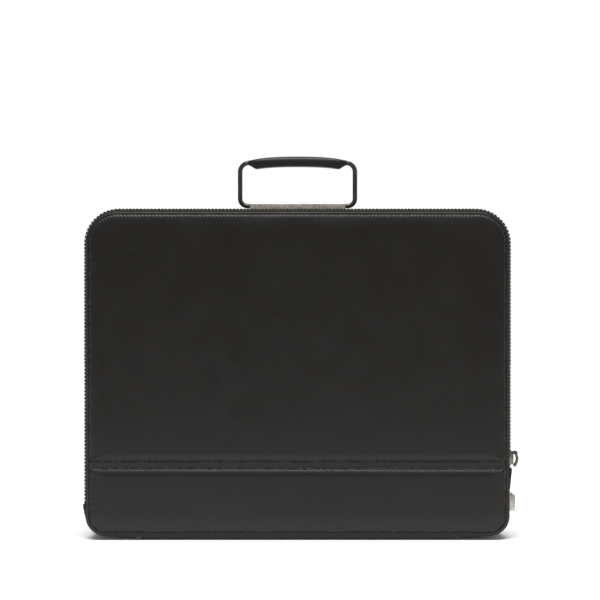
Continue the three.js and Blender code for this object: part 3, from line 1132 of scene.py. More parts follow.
@dataclass(frozen=True)
class Corner:
    """A rounded corner of a panel.

    Attributes:
        x: The corner's x before it is rounded, in millimetres.
        z: Its height before it is rounded.
        radius: Its radius.
        side: Which way it faces, as signs of x and z.
    """

    x: float
    z: float
    radius: float
    side: tuple[int, int]

    def arc(self, depth: float, spacing: float) -> list[Vector]:
        """The corner's points, clockwise as seen from the front, that far apart and at that depth."""
        steps = max(2, round(self.radius * math.pi / 2 / spacing))
        hub_x = self.x - self.side[0] * self.radius
        hub_z = self.z - self.side[1] * self.radius
        start = {(-1, 1): 270, (1, 1): 0, (1, -1): 90, (-1, -1): 180}[self.side]
        hub = Vector((hub_x, depth, hub_z))
        angles = [math.radians(start + 90 * k / steps) for k in range(steps + 1)]
        return [hub + Vector((math.sin(a), 0, math.cos(a))) * self.radius for a in angles]


@dataclass(frozen=True)
class Pucker:
    """How stitches draw the padding in between them.

    Attributes:
        depth: How deep they draw it in, in millimetres.
        fade: How far from the stitches that fades.
        slant: How far the puckers lean at the cross seam, in stitches for each millimetre.
        side_width: How wide the calmer stretch along the case's sides is.
        side_height: How far that stretch reaches up and down from the middle.
        side_share: The part of the depth that is left there.
        slack: How far inside its edge's level a point may lie and still be moved.
    """

    depth: float = 0.55
    fade: float = 1.3
    slant: float = 0.35
    side_width: float = 9.0
    side_height: float = 120.0
    side_share: float = 0.35
    slack: float = 0.05


@dataclass(frozen=True)
class PaddedFace:
    """One padded leather panel: flat at its seat, crowned outside, drawn in by its stitches.

    Attributes:
        name: The piece's name.
        node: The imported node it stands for.
        corners: Its four corners, clockwise as seen from the front.
        seat: The y of its inner side, in millimetres.
        groove: The y where its edge goes under the stitches.
        crown: The y of its middle.
        spacing: The distance between points along its edge.
        seam_side: -1 where the cross seam runs below it, 1 where it runs above, 0 where there is none.
        seam_rim: How much of the crown's rise the rim at the seam already has.
        seam_share: How wide the shoulder at the seam is, as a part of the shoulder elsewhere.
        seam_fade: How far from the seam the lifted rim fades.
        seam_start: How far from the case's edge the rim is lifted in full.
        insets: How far in from the edge each ring of points lies.
        shoulder: How wide the shoulder is.
        shoulder_rise: The part of the crown's rise that the shoulder reaches.
        shoulder_power: How steeply the shoulder starts; less is steeper.
        ease_reach: How far from the seam's corners creases are softened, as x and z.
        ease_share: The part of the crown's rise above which they are.
        ease_rounds: How often they are.
        pucker: How the stitches draw it in.
    """

    name: str
    node: str
    corners: tuple[Corner, ...]
    seat: float
    groove: float
    crown: float
    spacing: float
    seam_side: int = 0
    seam_rim: float = 0.0
    seam_share: float = 0.45
    seam_fade: float = 3.0
    seam_start: float = 5.0
    insets: tuple[float, ...] = (0.0, 0.25, 0.6, 1.1, 1.8, 2.7, 4.0, 5.8, 8.0, 11.0, 18.0, 30.0, 45.0)
    shoulder: float = 11.0
    shoulder_rise: float = 0.94
    shoulder_power: float = 0.38
    ease_reach: Pair = (20.0, 14.0)
    ease_share: float = 0.4
    ease_rounds: int = 25
    pucker: Pucker = Pucker()

    @property
    def limits(self) -> tuple[float, float, float, float]:
        """Its left and right x, and its lowest and highest z."""
        xs = [corner.x for corner in self.corners]
        zs = [corner.z for corner in self.corners]
        return min(xs), max(xs), min(zs), max(zs)

    @property
    def seam_height(self) -> float:
        """The height of its edge at the cross seam."""
        return self.limits[2] if self.seam_side < 0 else self.limits[3]

    def rise(self, inset: float) -> float:
        """The part of the crown's rise that is reached this far in from the edge."""
        if inset <= self.shoulder:
            return self.shoulder_rise * (inset / self.shoulder) ** self.shoulder_power
        rest = (inset - self.shoulder) / (self.insets[-1] - self.shoulder)
        return self.shoulder_rise + (1 - self.shoulder_rise) * math.sin(rest * math.pi / 2)

    def ring(self) -> Piece:
        """Draw the panel's edge and cut its long sides to the spacing."""
        points = [point for corner in self.corners for point in corner.arc(self.seat, self.spacing)]
        piece = draw_line(self.name, points)
        with editing(piece):
            while True:
                shape = bmesh.from_edit_mesh(piece.data)
                longest = max(edge.calc_length() for edge in shape.edges) / MM
                cuts = min(100, round(longest / self.spacing) - 1)
                if cuts < 1:
                    break
                pick(piece, Grade.EDGES, lambda edge: edge.calc_length() / MM > longest * 0.98)
                bpy.ops.mesh.subdivide(number_cuts=cuts)
        return piece

    def raise_crown(self, piece: Piece) -> None:
        """Fill the ring and draw it out ring by ring to the crown."""
        left, right, low, high = self.limits
        middle, width = (left + right) / 2, right - left
        shares = [self.seam_share if self.seam_side == side else 1.0 for side in (-1, 1)]
        with editing(piece):
            fill_ring()
            depth, before = self.seat, 0.0
            for inset in self.insets:
                step = inset - before
                if 2 * step >= min(width, high - low):
                    break
                target = self.groove + (self.crown - self.groove) * self.rise(inset)
                across = (width - 2 * step) / width
                up = (high - low - sum(shares) * step) / (high - low)
                hub = (low + shares[0] * step - low * up) / (1 - up) if step else low
                draw_out(y=target - depth)
                scale_about(Vector((middle, self.seat, hub)), x=across, z=up)
                depth, before = target, inset
                width, low, high = width - 2 * step, low + shares[0] * step, high - shares[1] * step

    def draw_in(self, piece: Piece, outline: CaseOutline, spacing: float, seam_spacing: float) -> None:
        """Pucker the shoulder between the stitches.

        Args:
            piece: The panel, settled.
            outline: The case's outer edge.
            spacing: The distance between the binding's stitches.
            seam_spacing: The distance between the seam's stitches.
        """
        pucker = self.pucker
        points = points_of(piece)
        along, out = outline.unroll(points)
        inset, phase = -out - outline.sewn(points[:, 2]), along / spacing
        from_axis = np.abs(points[:, 0] - outline.axis)
        upright = from_axis > outline.right - outline.axis - pucker.side_width
        calm = upright & (np.abs(points[:, 2] - outline.middle) < pucker.side_height)
        strength = np.where(calm, pucker.side_share, 1.0)
        if self.seam_side:
            seam_inset = np.abs(points[:, 2] - self.seam_height)
            self.lift_rim(points, inset, seam_inset)
            nearer = seam_inset < inset
            inset = np.where(nearer, seam_inset, inset)
            phase = np.where(nearer, points[:, 0] / seam_spacing + seam_inset * pucker.slant, phase)
            strength = np.where(nearer, 1.0, strength)
        proud = np.abs(points[:, 1] - self.seat) > abs(self.groove - self.seat) - pucker.slack
        drawn = np.exp(-np.clip(inset, 0, None) / pucker.fade) * proud * strength
        towards = math.copysign(1.0, self.crown - self.seat)
        points[:, 1] += towards * pucker.depth * np.cos(2 * math.pi * phase) * drawn
        move_points(piece, points)

    def ease_corners(self, piece: Piece) -> None:
        """Soften the creases that run in from the corners at the cross seam, where there is one."""
        if not self.seam_side:
            return
        rim = self.groove + (self.crown - self.groove) * self.ease_share
        across, up = self.ease_reach
        with editing(piece):
            pick(piece, Grade.POINTS, lambda point: (
                min(abs(point.co.x / MM - x) for x in self.limits[:2]) < across
                and abs(point.co.z / MM - self.seam_height) < up
                and abs(point.co.y / MM) > abs(rim)
            ))
            bpy.ops.mesh.vertices_smooth(factor=0.5, repeat=self.ease_rounds, xaxis=False, zaxis=False)

    def lift_rim(self, points: np.ndarray, inset: np.ndarray, seam_inset: np.ndarray) -> None:
        """Bring the rim at the seam forward.

        Args:
            points: The panel's points, which are changed.
            inset: How far each is from the case's edge, in millimetres.
            seam_inset: How far each is from the seam.
        """
        reach = self.crown - self.groove
        share = (points[:, 1] - self.groove) / reach
        near = np.exp(-((seam_inset / self.seam_fade) ** 2)) * np.clip(inset / self.seam_start, 0, 1)
        lifted = share + (1 - share) * self.seam_rim * near
        level_slack = 0.01
        points[:, 1] = np.where(share > -level_slack, self.groove + reach * lifted, points[:, 1])

    def build(self, outline: CaseOutline, spacing: float, seam_spacing: float) -> Piece:
        """Make the panel.

        Args:
            outline: The case's outer edge.
            spacing: The distance between the binding's stitches.
            seam_spacing: The distance between the seam's stitches.

        Returns:
            The finished panel.
        """
        piece = self.ring()
        self.raise_crown(piece)
        self.ease_corners(piece)
        settle(piece, 55.0)
        self.draw_in(piece, outline, spacing, seam_spacing)
        hand_over(piece, CASE_LEATHER, stands_for=[self.node])
        return piece


@dataclass(frozen=True)
class CrossSeam:
    """The sewn band between the two front panels.

    Attributes:
        outline: The case's outer edge.
        margin: How far in from the case's sides its ends lie, in millimetres.
        section: One side of it as (y, z), from its lower edge up.
        seat: The y of its inner side.
        rows: Its two rows of stitches as (y, z).
        dip: How far the leather rolls between stitches.
        dip_reach: How far up and down from a row that fades.
        skin: The y that only its outer side lies before.
        stitch: The stitch.
    """

    outline: CaseOutline
    margin: float = 2.25
    section: tuple[Pair, ...] = (
        (-32.3, 67.2), (-32.5, 67.4), (-32.55, 67.9), (-32.6, 68.7), (-32.7, 69.8), (-32.8, 71.0),
        (-32.9, 72.2), (-33.0, 73.3), (-33.0, 74.0), (-32.85, 74.5), (-32.4, 74.7),
    )
    seat: float = -29.8
    rows: tuple[Pair, ...] = ((-33.15, 67.4), (-32.9, 74.1))
    dip: float = 0.16
    dip_reach: float = 0.7
    skin: float = -31.0
    stitch: Stitch = Stitch(pitch=3.16, length=2.5, rise=0.4, radius=0.32, lean=24.0)

    @property
    def left(self) -> float:
        """The x where it starts."""
        return self.outline.left + self.margin

    @property
    def right(self) -> float:
        """The x where it ends."""
        return self.outline.right - self.margin

    def build(self) -> None:
        """Make the band from one repeated length, and sew its rows."""
        count = round((self.right - self.left) / self.stitch.pitch)
        pitch = (self.right - self.left) / count
        points = [Vector((self.left, y, z)) for y, z in self.section]
        low, high = self.section[0][1], self.section[-1][1]
        points += [Vector((self.left, self.seat, high)), Vector((self.left, self.seat, low))]
        piece = draw_line("seam_strip", points)
        with editing(piece):
            take_all()
            Straight(Vector((pitch, 0, 0)), 4).pull()
        settle(piece)
        shape = points_of(piece)
        wave = np.cos(2 * math.pi * (shape[:, 0] - self.left) / pitch)
        near = sum(np.exp(-(((shape[:, 2] - height) / self.dip_reach) ** 2)) for _, height in self.rows)
        outside = shape[:, 1] < self.skin
        shape[:, 1] -= self.dip * wave * near * outside
        move_points(piece, shape)
        repeat_along(piece, count, pitch)
        with editing(piece):
            close_ends()
        settle(piece, 50.0)
        hand_over(piece, CASE_LEATHER, stands_for=["front_seam_band"])
        places = [
            Matrix.Translation((self.left + pitch * k, depth, height))
            for depth, height in self.rows
            for k in range(1, count)
        ]
        self.stitch.row("stitches_seam", places, Side.FRONT, 13)


@dataclass(frozen=True)
class Tooth:
    """One zip tooth: a foot that clamps the tape, and a head that reaches over the zip's middle.

    Attributes:
        foot: The foot's width along the zip, its length across and its height, in millimetres.
        place: The foot's middle.
        neck: How far the neck is narrowed, along the zip and in height.
        neck_height: The height that it narrows towards.
        neck_length: Its length.
        head: How far the head is narrowed from the neck.
        head_height: The height that it narrows towards.
        head_length: Its length.
        worn: How far the edges are rubbed down.
        crease: The angle in degrees past which an edge stays sharp.
    """

    foot: tuple[float, float, float] = (2.8, 2.3, 3.5)
    place: tuple[float, float, float] = (0.0, -1.65, 2.15)
    neck: Pair = (0.8, 0.86)
    neck_height: float = 1.6
    neck_length: float = 0.3
    head: Pair = (0.58, 0.62)
    head_height: float = 2.0
    head_length: float = 0.85
    worn: float = 0.2
    crease: float = 30.0

    def template(self) -> Piece:
        """Model one tooth about the origin."""
        piece = add_object("tooth", bpy.ops.mesh.primitive_cube_add, self.place, size=MM)
        with editing(piece):
            take_all()
            scale_about(Vector(self.place), *self.foot)
            pick(piece, Grade.FACES, lambda face: face.normal.y > 0.9)
            scale_about(Vector((0, 0, self.neck_height)), x=self.neck[0], z=self.neck[1])
            draw_out(y=self.neck_length)
            scale_about(Vector((0, 0, self.head_height)), x=self.head[0], z=self.head[1])
            draw_out(y=self.head_length)
            pick(piece, Grade.EDGES, lambda edge: edge.calc_face_angle(0) > 0.9)
            bpy.ops.mesh.bevel(offset=self.worn * MM, segments=1, affect="EDGES")
        settle(piece, self.crease)
        return piece


@dataclass(frozen=True)
class ZipRun:
    """The closed zip over the top and sides: its two tapes and its teeth.

    Attributes:
        outline: The case's outer edge.
        left_end: The height where it starts on the left side, in millimetres.
        right_end: The height where it ends on the right side.
        front_tape: The front tape's section as (out, y).
        rear_tape: The rear tape's section as (out, y).
        tooth_pitch: From one tooth to the next in a row.
        middle_depth: The y at which the teeth meet.
        rear_drop: How far the rear row stands below the front one.
        tooth: The tooth.
    """

    outline: CaseOutline
    left_end: float
    right_end: float
    front_tape: tuple[Pair, ...] = (
        (-3.0, -29.7), (-0.2, -29.7), (0.9, -29.5), (1.45, -29.0), (1.65, -28.3), (1.65, -24.3), (1.5, -23.5),
        (1.9, -23.0), (1.9, -22.4), (1.3, -21.6), (1.1, -20.4), (0.5, -20.4), (0.7, -24.0), (0.7, -27.9),
        (0.3, -28.6), (-3.0, -28.9),
    )
    rear_tape: tuple[Pair, ...] = (
        (0.4, -19.6), (1.0, -19.6), (1.2, -18.4), (1.8, -17.6), (1.8, -17.0), (1.4, -16.5), (1.6, -15.7),
        (1.6, -11.6), (1.2, -10.6), (0.7, -9.4), (0.1, -9.4), (0.5, -11.2), (0.7, -12.0), (0.7, -16.0),
    )
    tooth_pitch: float = 3.37
    middle_depth: float = -20.0
    rear_drop: float = 0.25
    tooth: Tooth = Tooth()

    @property
    def start(self) -> float:
        """The distance along the outline where the zip starts."""
        return self.outline.on_left(self.left_end)

    @property
    def end(self) -> float:
        """The distance along the outline where the zip ends."""
        return self.outline.on_right(self.right_end)

    def tape(self, name: str, node: str, shape: Sequence[Pair]) -> None:
        """Sweep one tape.

        Args:
            name: The new piece's name.
            node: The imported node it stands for.
            shape: Its section.
        """
        piece = sweep(name, self.outline.section(self.start, shape), self.outline.legs(self.start, self.end))
        settle(piece, 50.0)
        lay_run(piece, self.outline)
        hand_over(piece, TWILL, stands_for=[node])

    def teeth(self) -> None:
        """Set the two rows of teeth, half a pitch apart."""
        count = int((self.end - self.start) / self.tooth_pitch)
        pitch = (self.end - self.start) / count
        for name, shift, drop, turn, seed, node in (
            ("teeth_front_row", 0.25, 0.0, 0, 21, ["zip_chain"]),
            ("teeth_rear_row", 0.75, self.rear_drop, 180, 22, []),
        ):
            places = [
                self.outline.at(self.start + (k + shift) * pitch, -drop, self.middle_depth)
                @ Matrix.Rotation(math.radians(turn), 4, "Z")
                for k in range(count)
            ]
            piece = repeat_shape(name, self.tooth.template(), places, seed)
            select_only(piece)
            bpy.ops.object.shade_smooth_by_angle(angle=math.radians(self.tooth.crease))
            hand_over(piece, TOOTH_METAL, stands_for=node)

    def build(self) -> None:
        """Make the tapes and the teeth."""
        self.tape("woven_tape_front", "zip_tape_front", self.front_tape)
        self.tape("woven_tape_rear", "zip_tape_rear", self.rear_tape)
        self.teeth()


@dataclass(frozen=True)
class Gussets:
    """The leather sides: one strip behind the zip, one below it.

    Attributes:
        outline: The case's outer edge.
        left_end: The height where the two strips meet on the left side, in millimetres.
        right_end: The height where they meet on the right side.
        joint: The gap between them.
        sag: How far the base hangs between the feet, in millimetres.
        sag_from: How far from the middle the sag starts.
        sag_full: How far from the middle it is whole.
        sag_skin: How far below the outline a point hangs in full.
        long_edge: The length over which an edge of the base is cut before it hangs.
        base_cuts: How many cuts it gets.
        wall: How thick the leather is.
        lining_share: How deep the inner side reaches, as a part of the outer side's depth.
        rear: The section behind the zip as (out, y), with a rolled and sewn front edge.
        half_base: One half of the section below the zip, from its front flange to its middle.
        stitch_line: Where the rolled edge is sewn, as (out, y).
        stitch: The stitch.
    """

    outline: CaseOutline
    left_end: float
    right_end: float
    joint: float = JOINT
    sag: float = 2.1
    sag_from: float = 178.0
    sag_full: float = 134.0
    sag_skin: float = 1.6
    long_edge: float = 100.0
    base_cuts: int = 60
    wall: float = 1.1
    lining_share: float = 0.96
    rear: tuple[Pair, ...] = (
        (0.9, -10.2), (1.25, -10.55), (1.75, -10.5), (2.1, -10.1), (2.25, -9.5), (2.15, -8.9),
        (1.85, -8.4), (2.1, -7.9), (2.22, -7.0), (2.25, -4.0), (2.25, 8.0), (2.1, 17.0), (1.8, 23.5),
        (1.3, 27.3), (0.5, 28.9), (-0.2, 29.6), (-3.2, 29.6), (-3.2, 28.5), (-0.4, 28.2), (0.4, 26.0),
        (1.0, 20.0), (1.2, 8.0), (1.2, -8.0),
    )
    half_base: tuple[Pair, ...] = (
        (-3.2, -28.5), (-3.2, -29.8), (-0.2, -29.8), (0.9, -29.75), (1.7, -29.35), (2.05, -28.5),
        (2.2, -24.5), (2.25, -17.0), (2.3, -8.0), (2.3, 0.0),
    )
    stitch_line: Pair = (1.92, -8.4)
    stitch: Stitch = Stitch()

    def base_section(self) -> list[Pair]:
        """The whole section below the zip, with its inner side."""
        outer = list(self.half_base) + mirrored(self.half_base[-2::-1])
        past_corner = self.half_base[5:]
        inner = [(out - self.wall, depth * self.lining_share) for out, depth in past_corner]
        inner += mirrored(inner[-2::-1])
        return outer + inner[::-1]

    def hang(self, piece: Piece) -> None:
        """Let the base sag between the feet."""
        with editing(piece):
            pick(piece, Grade.EDGES, lambda edge: edge.calc_length() > self.long_edge * MM)
            bpy.ops.mesh.subdivide(number_cuts=self.base_cuts)
        points = points_of(piece)
        away = np.abs(points[:, 0] - self.outline.axis)
        share = np.clip((self.sag_from - away) / (self.sag_from - self.sag_full), 0, 1)
        below = np.clip((self.outline.base - points[:, 2]) / self.sag_skin, 0, 1)
        points[:, 2] -= self.sag * share * share * (3 - 2 * share) * below
        move_points(piece, points)

    def build(self) -> None:
        """Make both strips and the row of stitches behind the zip."""
        outline = self.outline
        start, end = outline.on_left(self.left_end), outline.on_right(self.right_end)
        piece = sweep("gusset_rear_leather", outline.section(start, self.rear), outline.legs(start, end))
        settle(piece, 50.0)
        hand_over(piece, CASE_LEATHER, stands_for=["rear_gusset"])
        low_start, low_end = end + self.joint, outline.length + start - self.joint
        section = outline.section(low_start, self.base_section())
        piece = sweep("gusset_base_leather", section, outline.legs(low_start, low_end))
        settle(piece)
        self.hang(piece)
        settle(piece, 50.0)
        hand_over(piece, CASE_LEATHER, stands_for=["base_gusset"])
        count = int((end - start) / self.stitch.pitch)
        places = [
            outline.at(start + (k + 0.5) * self.stitch.pitch, *self.stitch_line) for k in range(count)
        ]
        self.stitch.row("stitches_gusset", places, Side.OUTER, 14)


@dataclass(frozen=True)
class EndTab:
    """A leather tab sewn over one end of the zip.

    Attributes:
        name: The piece's name.
        node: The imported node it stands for.
        side: -1 on the left side of the case, 1 on the right.
        round: The radius of its two lower corners, in millimetres.
        full: How much of its length keeps its full thickness.
        thick: That thickness.
        thin: Its thickness at the foot.
        sunk: How far its root lies under its inner side.
        insets: How wide each ring of faces on its outer side is, from its edge in.
        rounding: How far its outer edge is rounded.
        cuts: How many lengths it thins in.
        margin: How far its stitches lie from its edge.
        top_margin: How far below its top they start.
        pressed: How far they are pressed into the leather.
        stitch: The stitch.
    """

    name: str
    node: str
    side: int
    round: float = 4.5
    full: float = 3.8
    thick: float = 1.9
    thin: float = 0.4
    sunk: float = 0.3
    insets: tuple[float, ...] = (0.5, 1.0, 1.0)
    rounding: float = 0.45
    cuts: int = 6
    margin: float = 1.9
    top_margin: float = 1.0
    pressed: float = 0.05
    stitch: Stitch = Stitch(pitch=2.6, length=2.0, rise=0.3, radius=0.2)

    def edge(self, low: Vector, high: Vector, inset: float) -> list[Pair]:
        """The tab's edge as (y, z), from its upper front corner down and round to its upper rear corner."""
        radius = self.round - inset
        front, rear, foot, top = low.y + inset, high.y - inset, low.z + inset, high.z
        steps = [math.radians(15 * k) for k in range(7)]
        points = [(front, top)]
        points += [(front + radius * (1 - math.cos(a)), foot + radius * (1 - math.sin(a))) for a in steps]
        points += [(rear - radius * (1 - math.sin(a)), foot + radius * (1 - math.cos(a))) for a in steps]
        return points + [(rear, top)]

    def thickness(self, fall: np.ndarray, length: float) -> np.ndarray:
        """The part of the full thickness that is left this far below the top."""
        rest = np.clip((fall - self.full) / (length - self.full), 0, 1)
        return 1 - (1 - self.thin / self.thick) * np.sin(rest * math.pi / 2)

    def build(self) -> None:
        """Make the tab and its row of stitches."""
        low, high = node_box(self.node)
        inner, outer = (low.x, high.x) if self.side > 0 else (high.x, low.x)
        root = inner - self.side * self.sunk
        piece = draw_line(self.name, [Vector((root, y, z)) for y, z in self.edge(low, high, 0.0)])
        with editing(piece):
            fill_ring()
            draw_out(x=outer - root)
            for width in self.insets:
                bpy.ops.mesh.inset(thickness=width * MM)
            pick(
                piece, Grade.EDGES,
                lambda edge: all(abs(p.co.x + piece.location.x - outer * MM) < 0.01 * MM for p in edge.verts)
                and any(abs(face.normal.x) < 0.1 for face in edge.link_faces),
            )
            bpy.ops.mesh.bevel(offset=self.rounding * MM, segments=3, affect="EDGES")
            for k in range(self.cuts):
                height = high.z - self.full - k * (high.z - self.full - low.z) / self.cuts
                take_all()
                bpy.ops.mesh.bisect(plane_co=(0, 0, height * MM), plane_no=(0, 0, 1), use_fill=False)
        settle(piece, 40.0)
        points = points_of(piece)
        left = self.thickness(high.z - points[:, 2], high.z - low.z)
        points[:, 0] = inner + (points[:, 0] - inner) * left
        move_points(piece, points)
        hand_over(piece, BINDING_LEATHER, stands_for=[self.node])
        self.sew(low, high, inner, outer)

    def sew(self, low: Vector, high: Vector, inner: float, outer: float) -> None:
        """Sew the tab's edge.

        Args:
            low: The tab's lowest corner.
            high: Its highest corner.
            inner: The x of its inner side.
            outer: The x of its outer side.
        """
        edge = self.edge(low, high - Vector((0, 0, self.top_margin)), self.margin)
        path = [Vector((0, y, z)) for y, z in edge]
        places, wanted, passed = [], self.stitch.pitch / 2, 0.0
        for here, there in zip(path, path[1:]):
            reach = there - here
            while wanted <= passed + reach.length:
                spot = here + reach.normalized() * (wanted - passed)
                part = float(self.thickness(np.array([high.z - spot.z]), high.z - low.z)[0])
                run, inwards = reach.normalized(), Vector((-self.side, 0, 0))
                place = Matrix((run, inwards, run.cross(inwards))).transposed().to_4x4()
                level = inner + (outer - inner) * part - self.side * self.pressed
                place.translation = Vector((level, spot.y, spot.z))
                places.append(place)
                wanted += self.stitch.pitch
            passed += reach.length
        self.stitch.row(f"stitches_{self.name}", places, Side.FRONT, 30 + self.side)


@dataclass(frozen=True)
class SmallMetal:
    """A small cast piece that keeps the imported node's form, with its edges softened.

    Attributes:
        name: The piece's name.
        node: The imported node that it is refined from.
        body: The body it moves with.
        finish: Its metal.
        soften: How far its edges are rounded, in millimetres.
        sharp: The angle in degrees past which an edge is rounded.
    """

    name: str
    node: str
    body: Body = Body.CASE
    finish: Metal = NICKEL
    soften: float = 0.32
    sharp: float = 25.0

    def build(self) -> None:
        """Copy the node, round its edges and hand it over."""
        piece = copy_of_node(self.name, self.node)
        apply_modifier(
            piece, "BEVEL", width=self.soften * MM, segments=3, limit_method="ANGLE",
            angle_limit=math.radians(self.sharp), use_clamp_overlap=True, harden_normals=False,
        )
        settle(piece, 35.0)
        hand_over(piece, self.finish, self.body, [self.node])


@dataclass(frozen=True)
class Stud:
    """A domed metal foot with a collar.

    Attributes:
        profile: Its outline as (distance from its middle, height), from the floor up, in millimetres.
        steps: How many sides it has.
    """

    profile: tuple[Pair, ...] = (
        (0.0, 0.0), (2.9, 0.0), (3.35, 0.1), (3.75, 0.36), (4.05, 0.75), (4.22, 1.3), (4.25, 1.9),
        (4.15, 2.25), (3.85, 2.35), (3.8, 2.55), (4.1, 2.7), (4.15, 3.0), (4.0, 3.3), (0.0, 3.3),
    )
    steps: int = 36

    def build(self) -> None:
        """Model one stud, then copy it to the four corners."""
        nodes = [f"foot_{end}_{side}" for end in ("front", "rear") for side in ("left", "right")]
        stud = draw_line("stud", [Vector((x, 0, z)) for x, z in self.profile], closed=False)
        with editing(stud):
            take_all()
            bpy.ops.mesh.spin(steps=self.steps, angle=2 * math.pi, center=(0, 0, 0), axis=(0, 0, 1))
        settle(stud, 40.0)
        shape = points_of(stud)
        for node in nodes:
            low, high = node_box(node)
            middle = (low + high) / 2
            piece = bpy.data.objects.new(node.replace("foot", "stud"), stud.data.copy())
            bpy.context.collection.objects.link(piece)
            move_points(piece, shape + np.array((middle.x, middle.y, low.z)))
            hand_over(piece, STUD_METAL, stands_for=[node])
        bpy.data.objects.remove(stud)


@dataclass(frozen=True)
class RibbedBar:
    """The metal bar on top of the case, ribbed across, with a bore at each end for the wire.

    Attributes:
        crown: The radius of its upper edges, in millimetres.
        foot: The radius of its lower edges.
        collar: The length of the plain collar at each end.
        rib: The pitch of the ribs.
        groove: The width of the groove between two ribs.
        flank: The width of a rib's flank.
        rise: How far a rib stands over its groove.
        bore: The radius of the bore.
        bore_height: The height of the bore's middle.
        bore_depth: How far it goes in.
        bore_sides: How many sides it has.
        collar_parts: The collar's lengths as parts of the whole, and 1 where it swells to the ribs' size.
        end_scale: How far the end face is narrowed, across and up.
    """

    crown: float = 1.7
    foot: float = 0.8
    collar: float = 2.2
    rib: float = 1.5
    groove: float = 0.32
    flank: float = 0.17
    rise: float = 0.26
    bore: float = 2.45
    bore_height: float = 316.2
    bore_depth: float = 12.5
    bore_sides: int = 28
    collar_parts: tuple[tuple[float, int], ...] = ((0.08, 1), (0.72, 0), (0.2, 0))
    end_scale: Pair = (0.9, 0.88)

    def section(self, x: float, low: Vector, high: Vector) -> list[Vector]:
        """The bar's section at x, seen along it."""
        upper, lower = high.z - self.crown, low.z + self.foot
        corners = (
            (high.y - self.crown, upper, self.crown, 0),
            (high.y - self.foot, lower, self.foot, 90),
            (low.y + self.foot, lower, self.foot, 180),
            (low.y + self.crown, upper, self.crown, 270),
        )
        points = []
        for y, z, radius, start in corners:
            for turn in range(0, 91, 15):
                angle = math.radians(start + turn)
                points.append(Vector((x, y + radius * math.sin(angle), z + radius * math.cos(angle))))
        return points

    def build(self) -> None:
        """Make one rib, repeat it, and close both ends round the bores."""
        low, high = node_box("handle_bar")
        middle = (low + high) / 2
        size = high - low
        sink = [(side - 2 * self.rise) / side for side in (size.y, size.z)]
        count = int((size.x - 2 * self.collar) / self.rib)
        start = middle.x - count * self.rib / 2
        piece = draw_line("ribbed_bar", self.section(start, low, high))
        crest = self.rib - self.groove - 2 * self.flank
        with editing(piece):
            bpy.ops.mesh.select_mode(type="EDGE")
            take_all()
            scale_about(middle, 1, *sink)
            half = self.groove / 2
            for length, swell in ((half, 0), (self.flank, 1), (crest, 0), (self.flank, -1), (half, 0)):
                draw_out(x=length)
                scale_about(middle, 1, *(side ** -swell for side in sink))
        settle(piece)
        repeat_along(piece, count, self.rib)
        for side in (-1, 1):
            self.close_end(piece, side, middle, sink)
        settle(piece, 32.0)
        hand_over(piece, BAR_METAL, stands_for=["handle_bar"])

    def close_end(self, piece: Piece, side: int, middle: Vector, sink: Sequence[float]) -> None:
        """Give one end its collar, its face and its bore.

        Args:
            piece: The ribbed length.
            side: -1 for the left end, 1 for the right.
            middle: The bar's middle.
            sink: The groove's scale across and up.
        """
        inside = middle.x * side * MM
        with editing(piece):
            pick(
                piece, Grade.EDGES,
                lambda edge: len(edge.link_faces) < 2 and edge.verts[0].co.x * side > inside,
            )
            for part, swell in self.collar_parts:
                draw_out(x=side * self.collar * part)
                scale_about(middle, 1, *(fraction ** -swell for fraction in sink))
            scale_about(middle, 1, *self.end_scale)
            ends = [v.co.x / MM - middle.x for v in bmesh.from_edit_mesh(piece.data).verts if v.select]
            place = Vector((middle.x + side * max(map(abs, ends)), 0, self.bore_height))
            bpy.ops.mesh.select_all(action="DESELECT")
            bpy.ops.mesh.primitive_circle_add(
                vertices=self.bore_sides, radius=self.bore * MM, location=place * MM, rotation=ACROSS_X
            )

            def on_face(edge: bmesh.types.BMEdge) -> bool:
                """Whether an open edge lies in the end face."""
                level = all(abs(v.co.x - place.x * MM) < 0.02 * MM for v in edge.verts)
                return level and len(edge.link_faces) < 2

            pick(piece, Grade.EDGES, on_face)
            bpy.ops.mesh.bridge_edge_loops()
            pick(piece, Grade.EDGES, on_face)
            draw_out(x=-side * self.bore_depth)
            bpy.ops.mesh.fill()


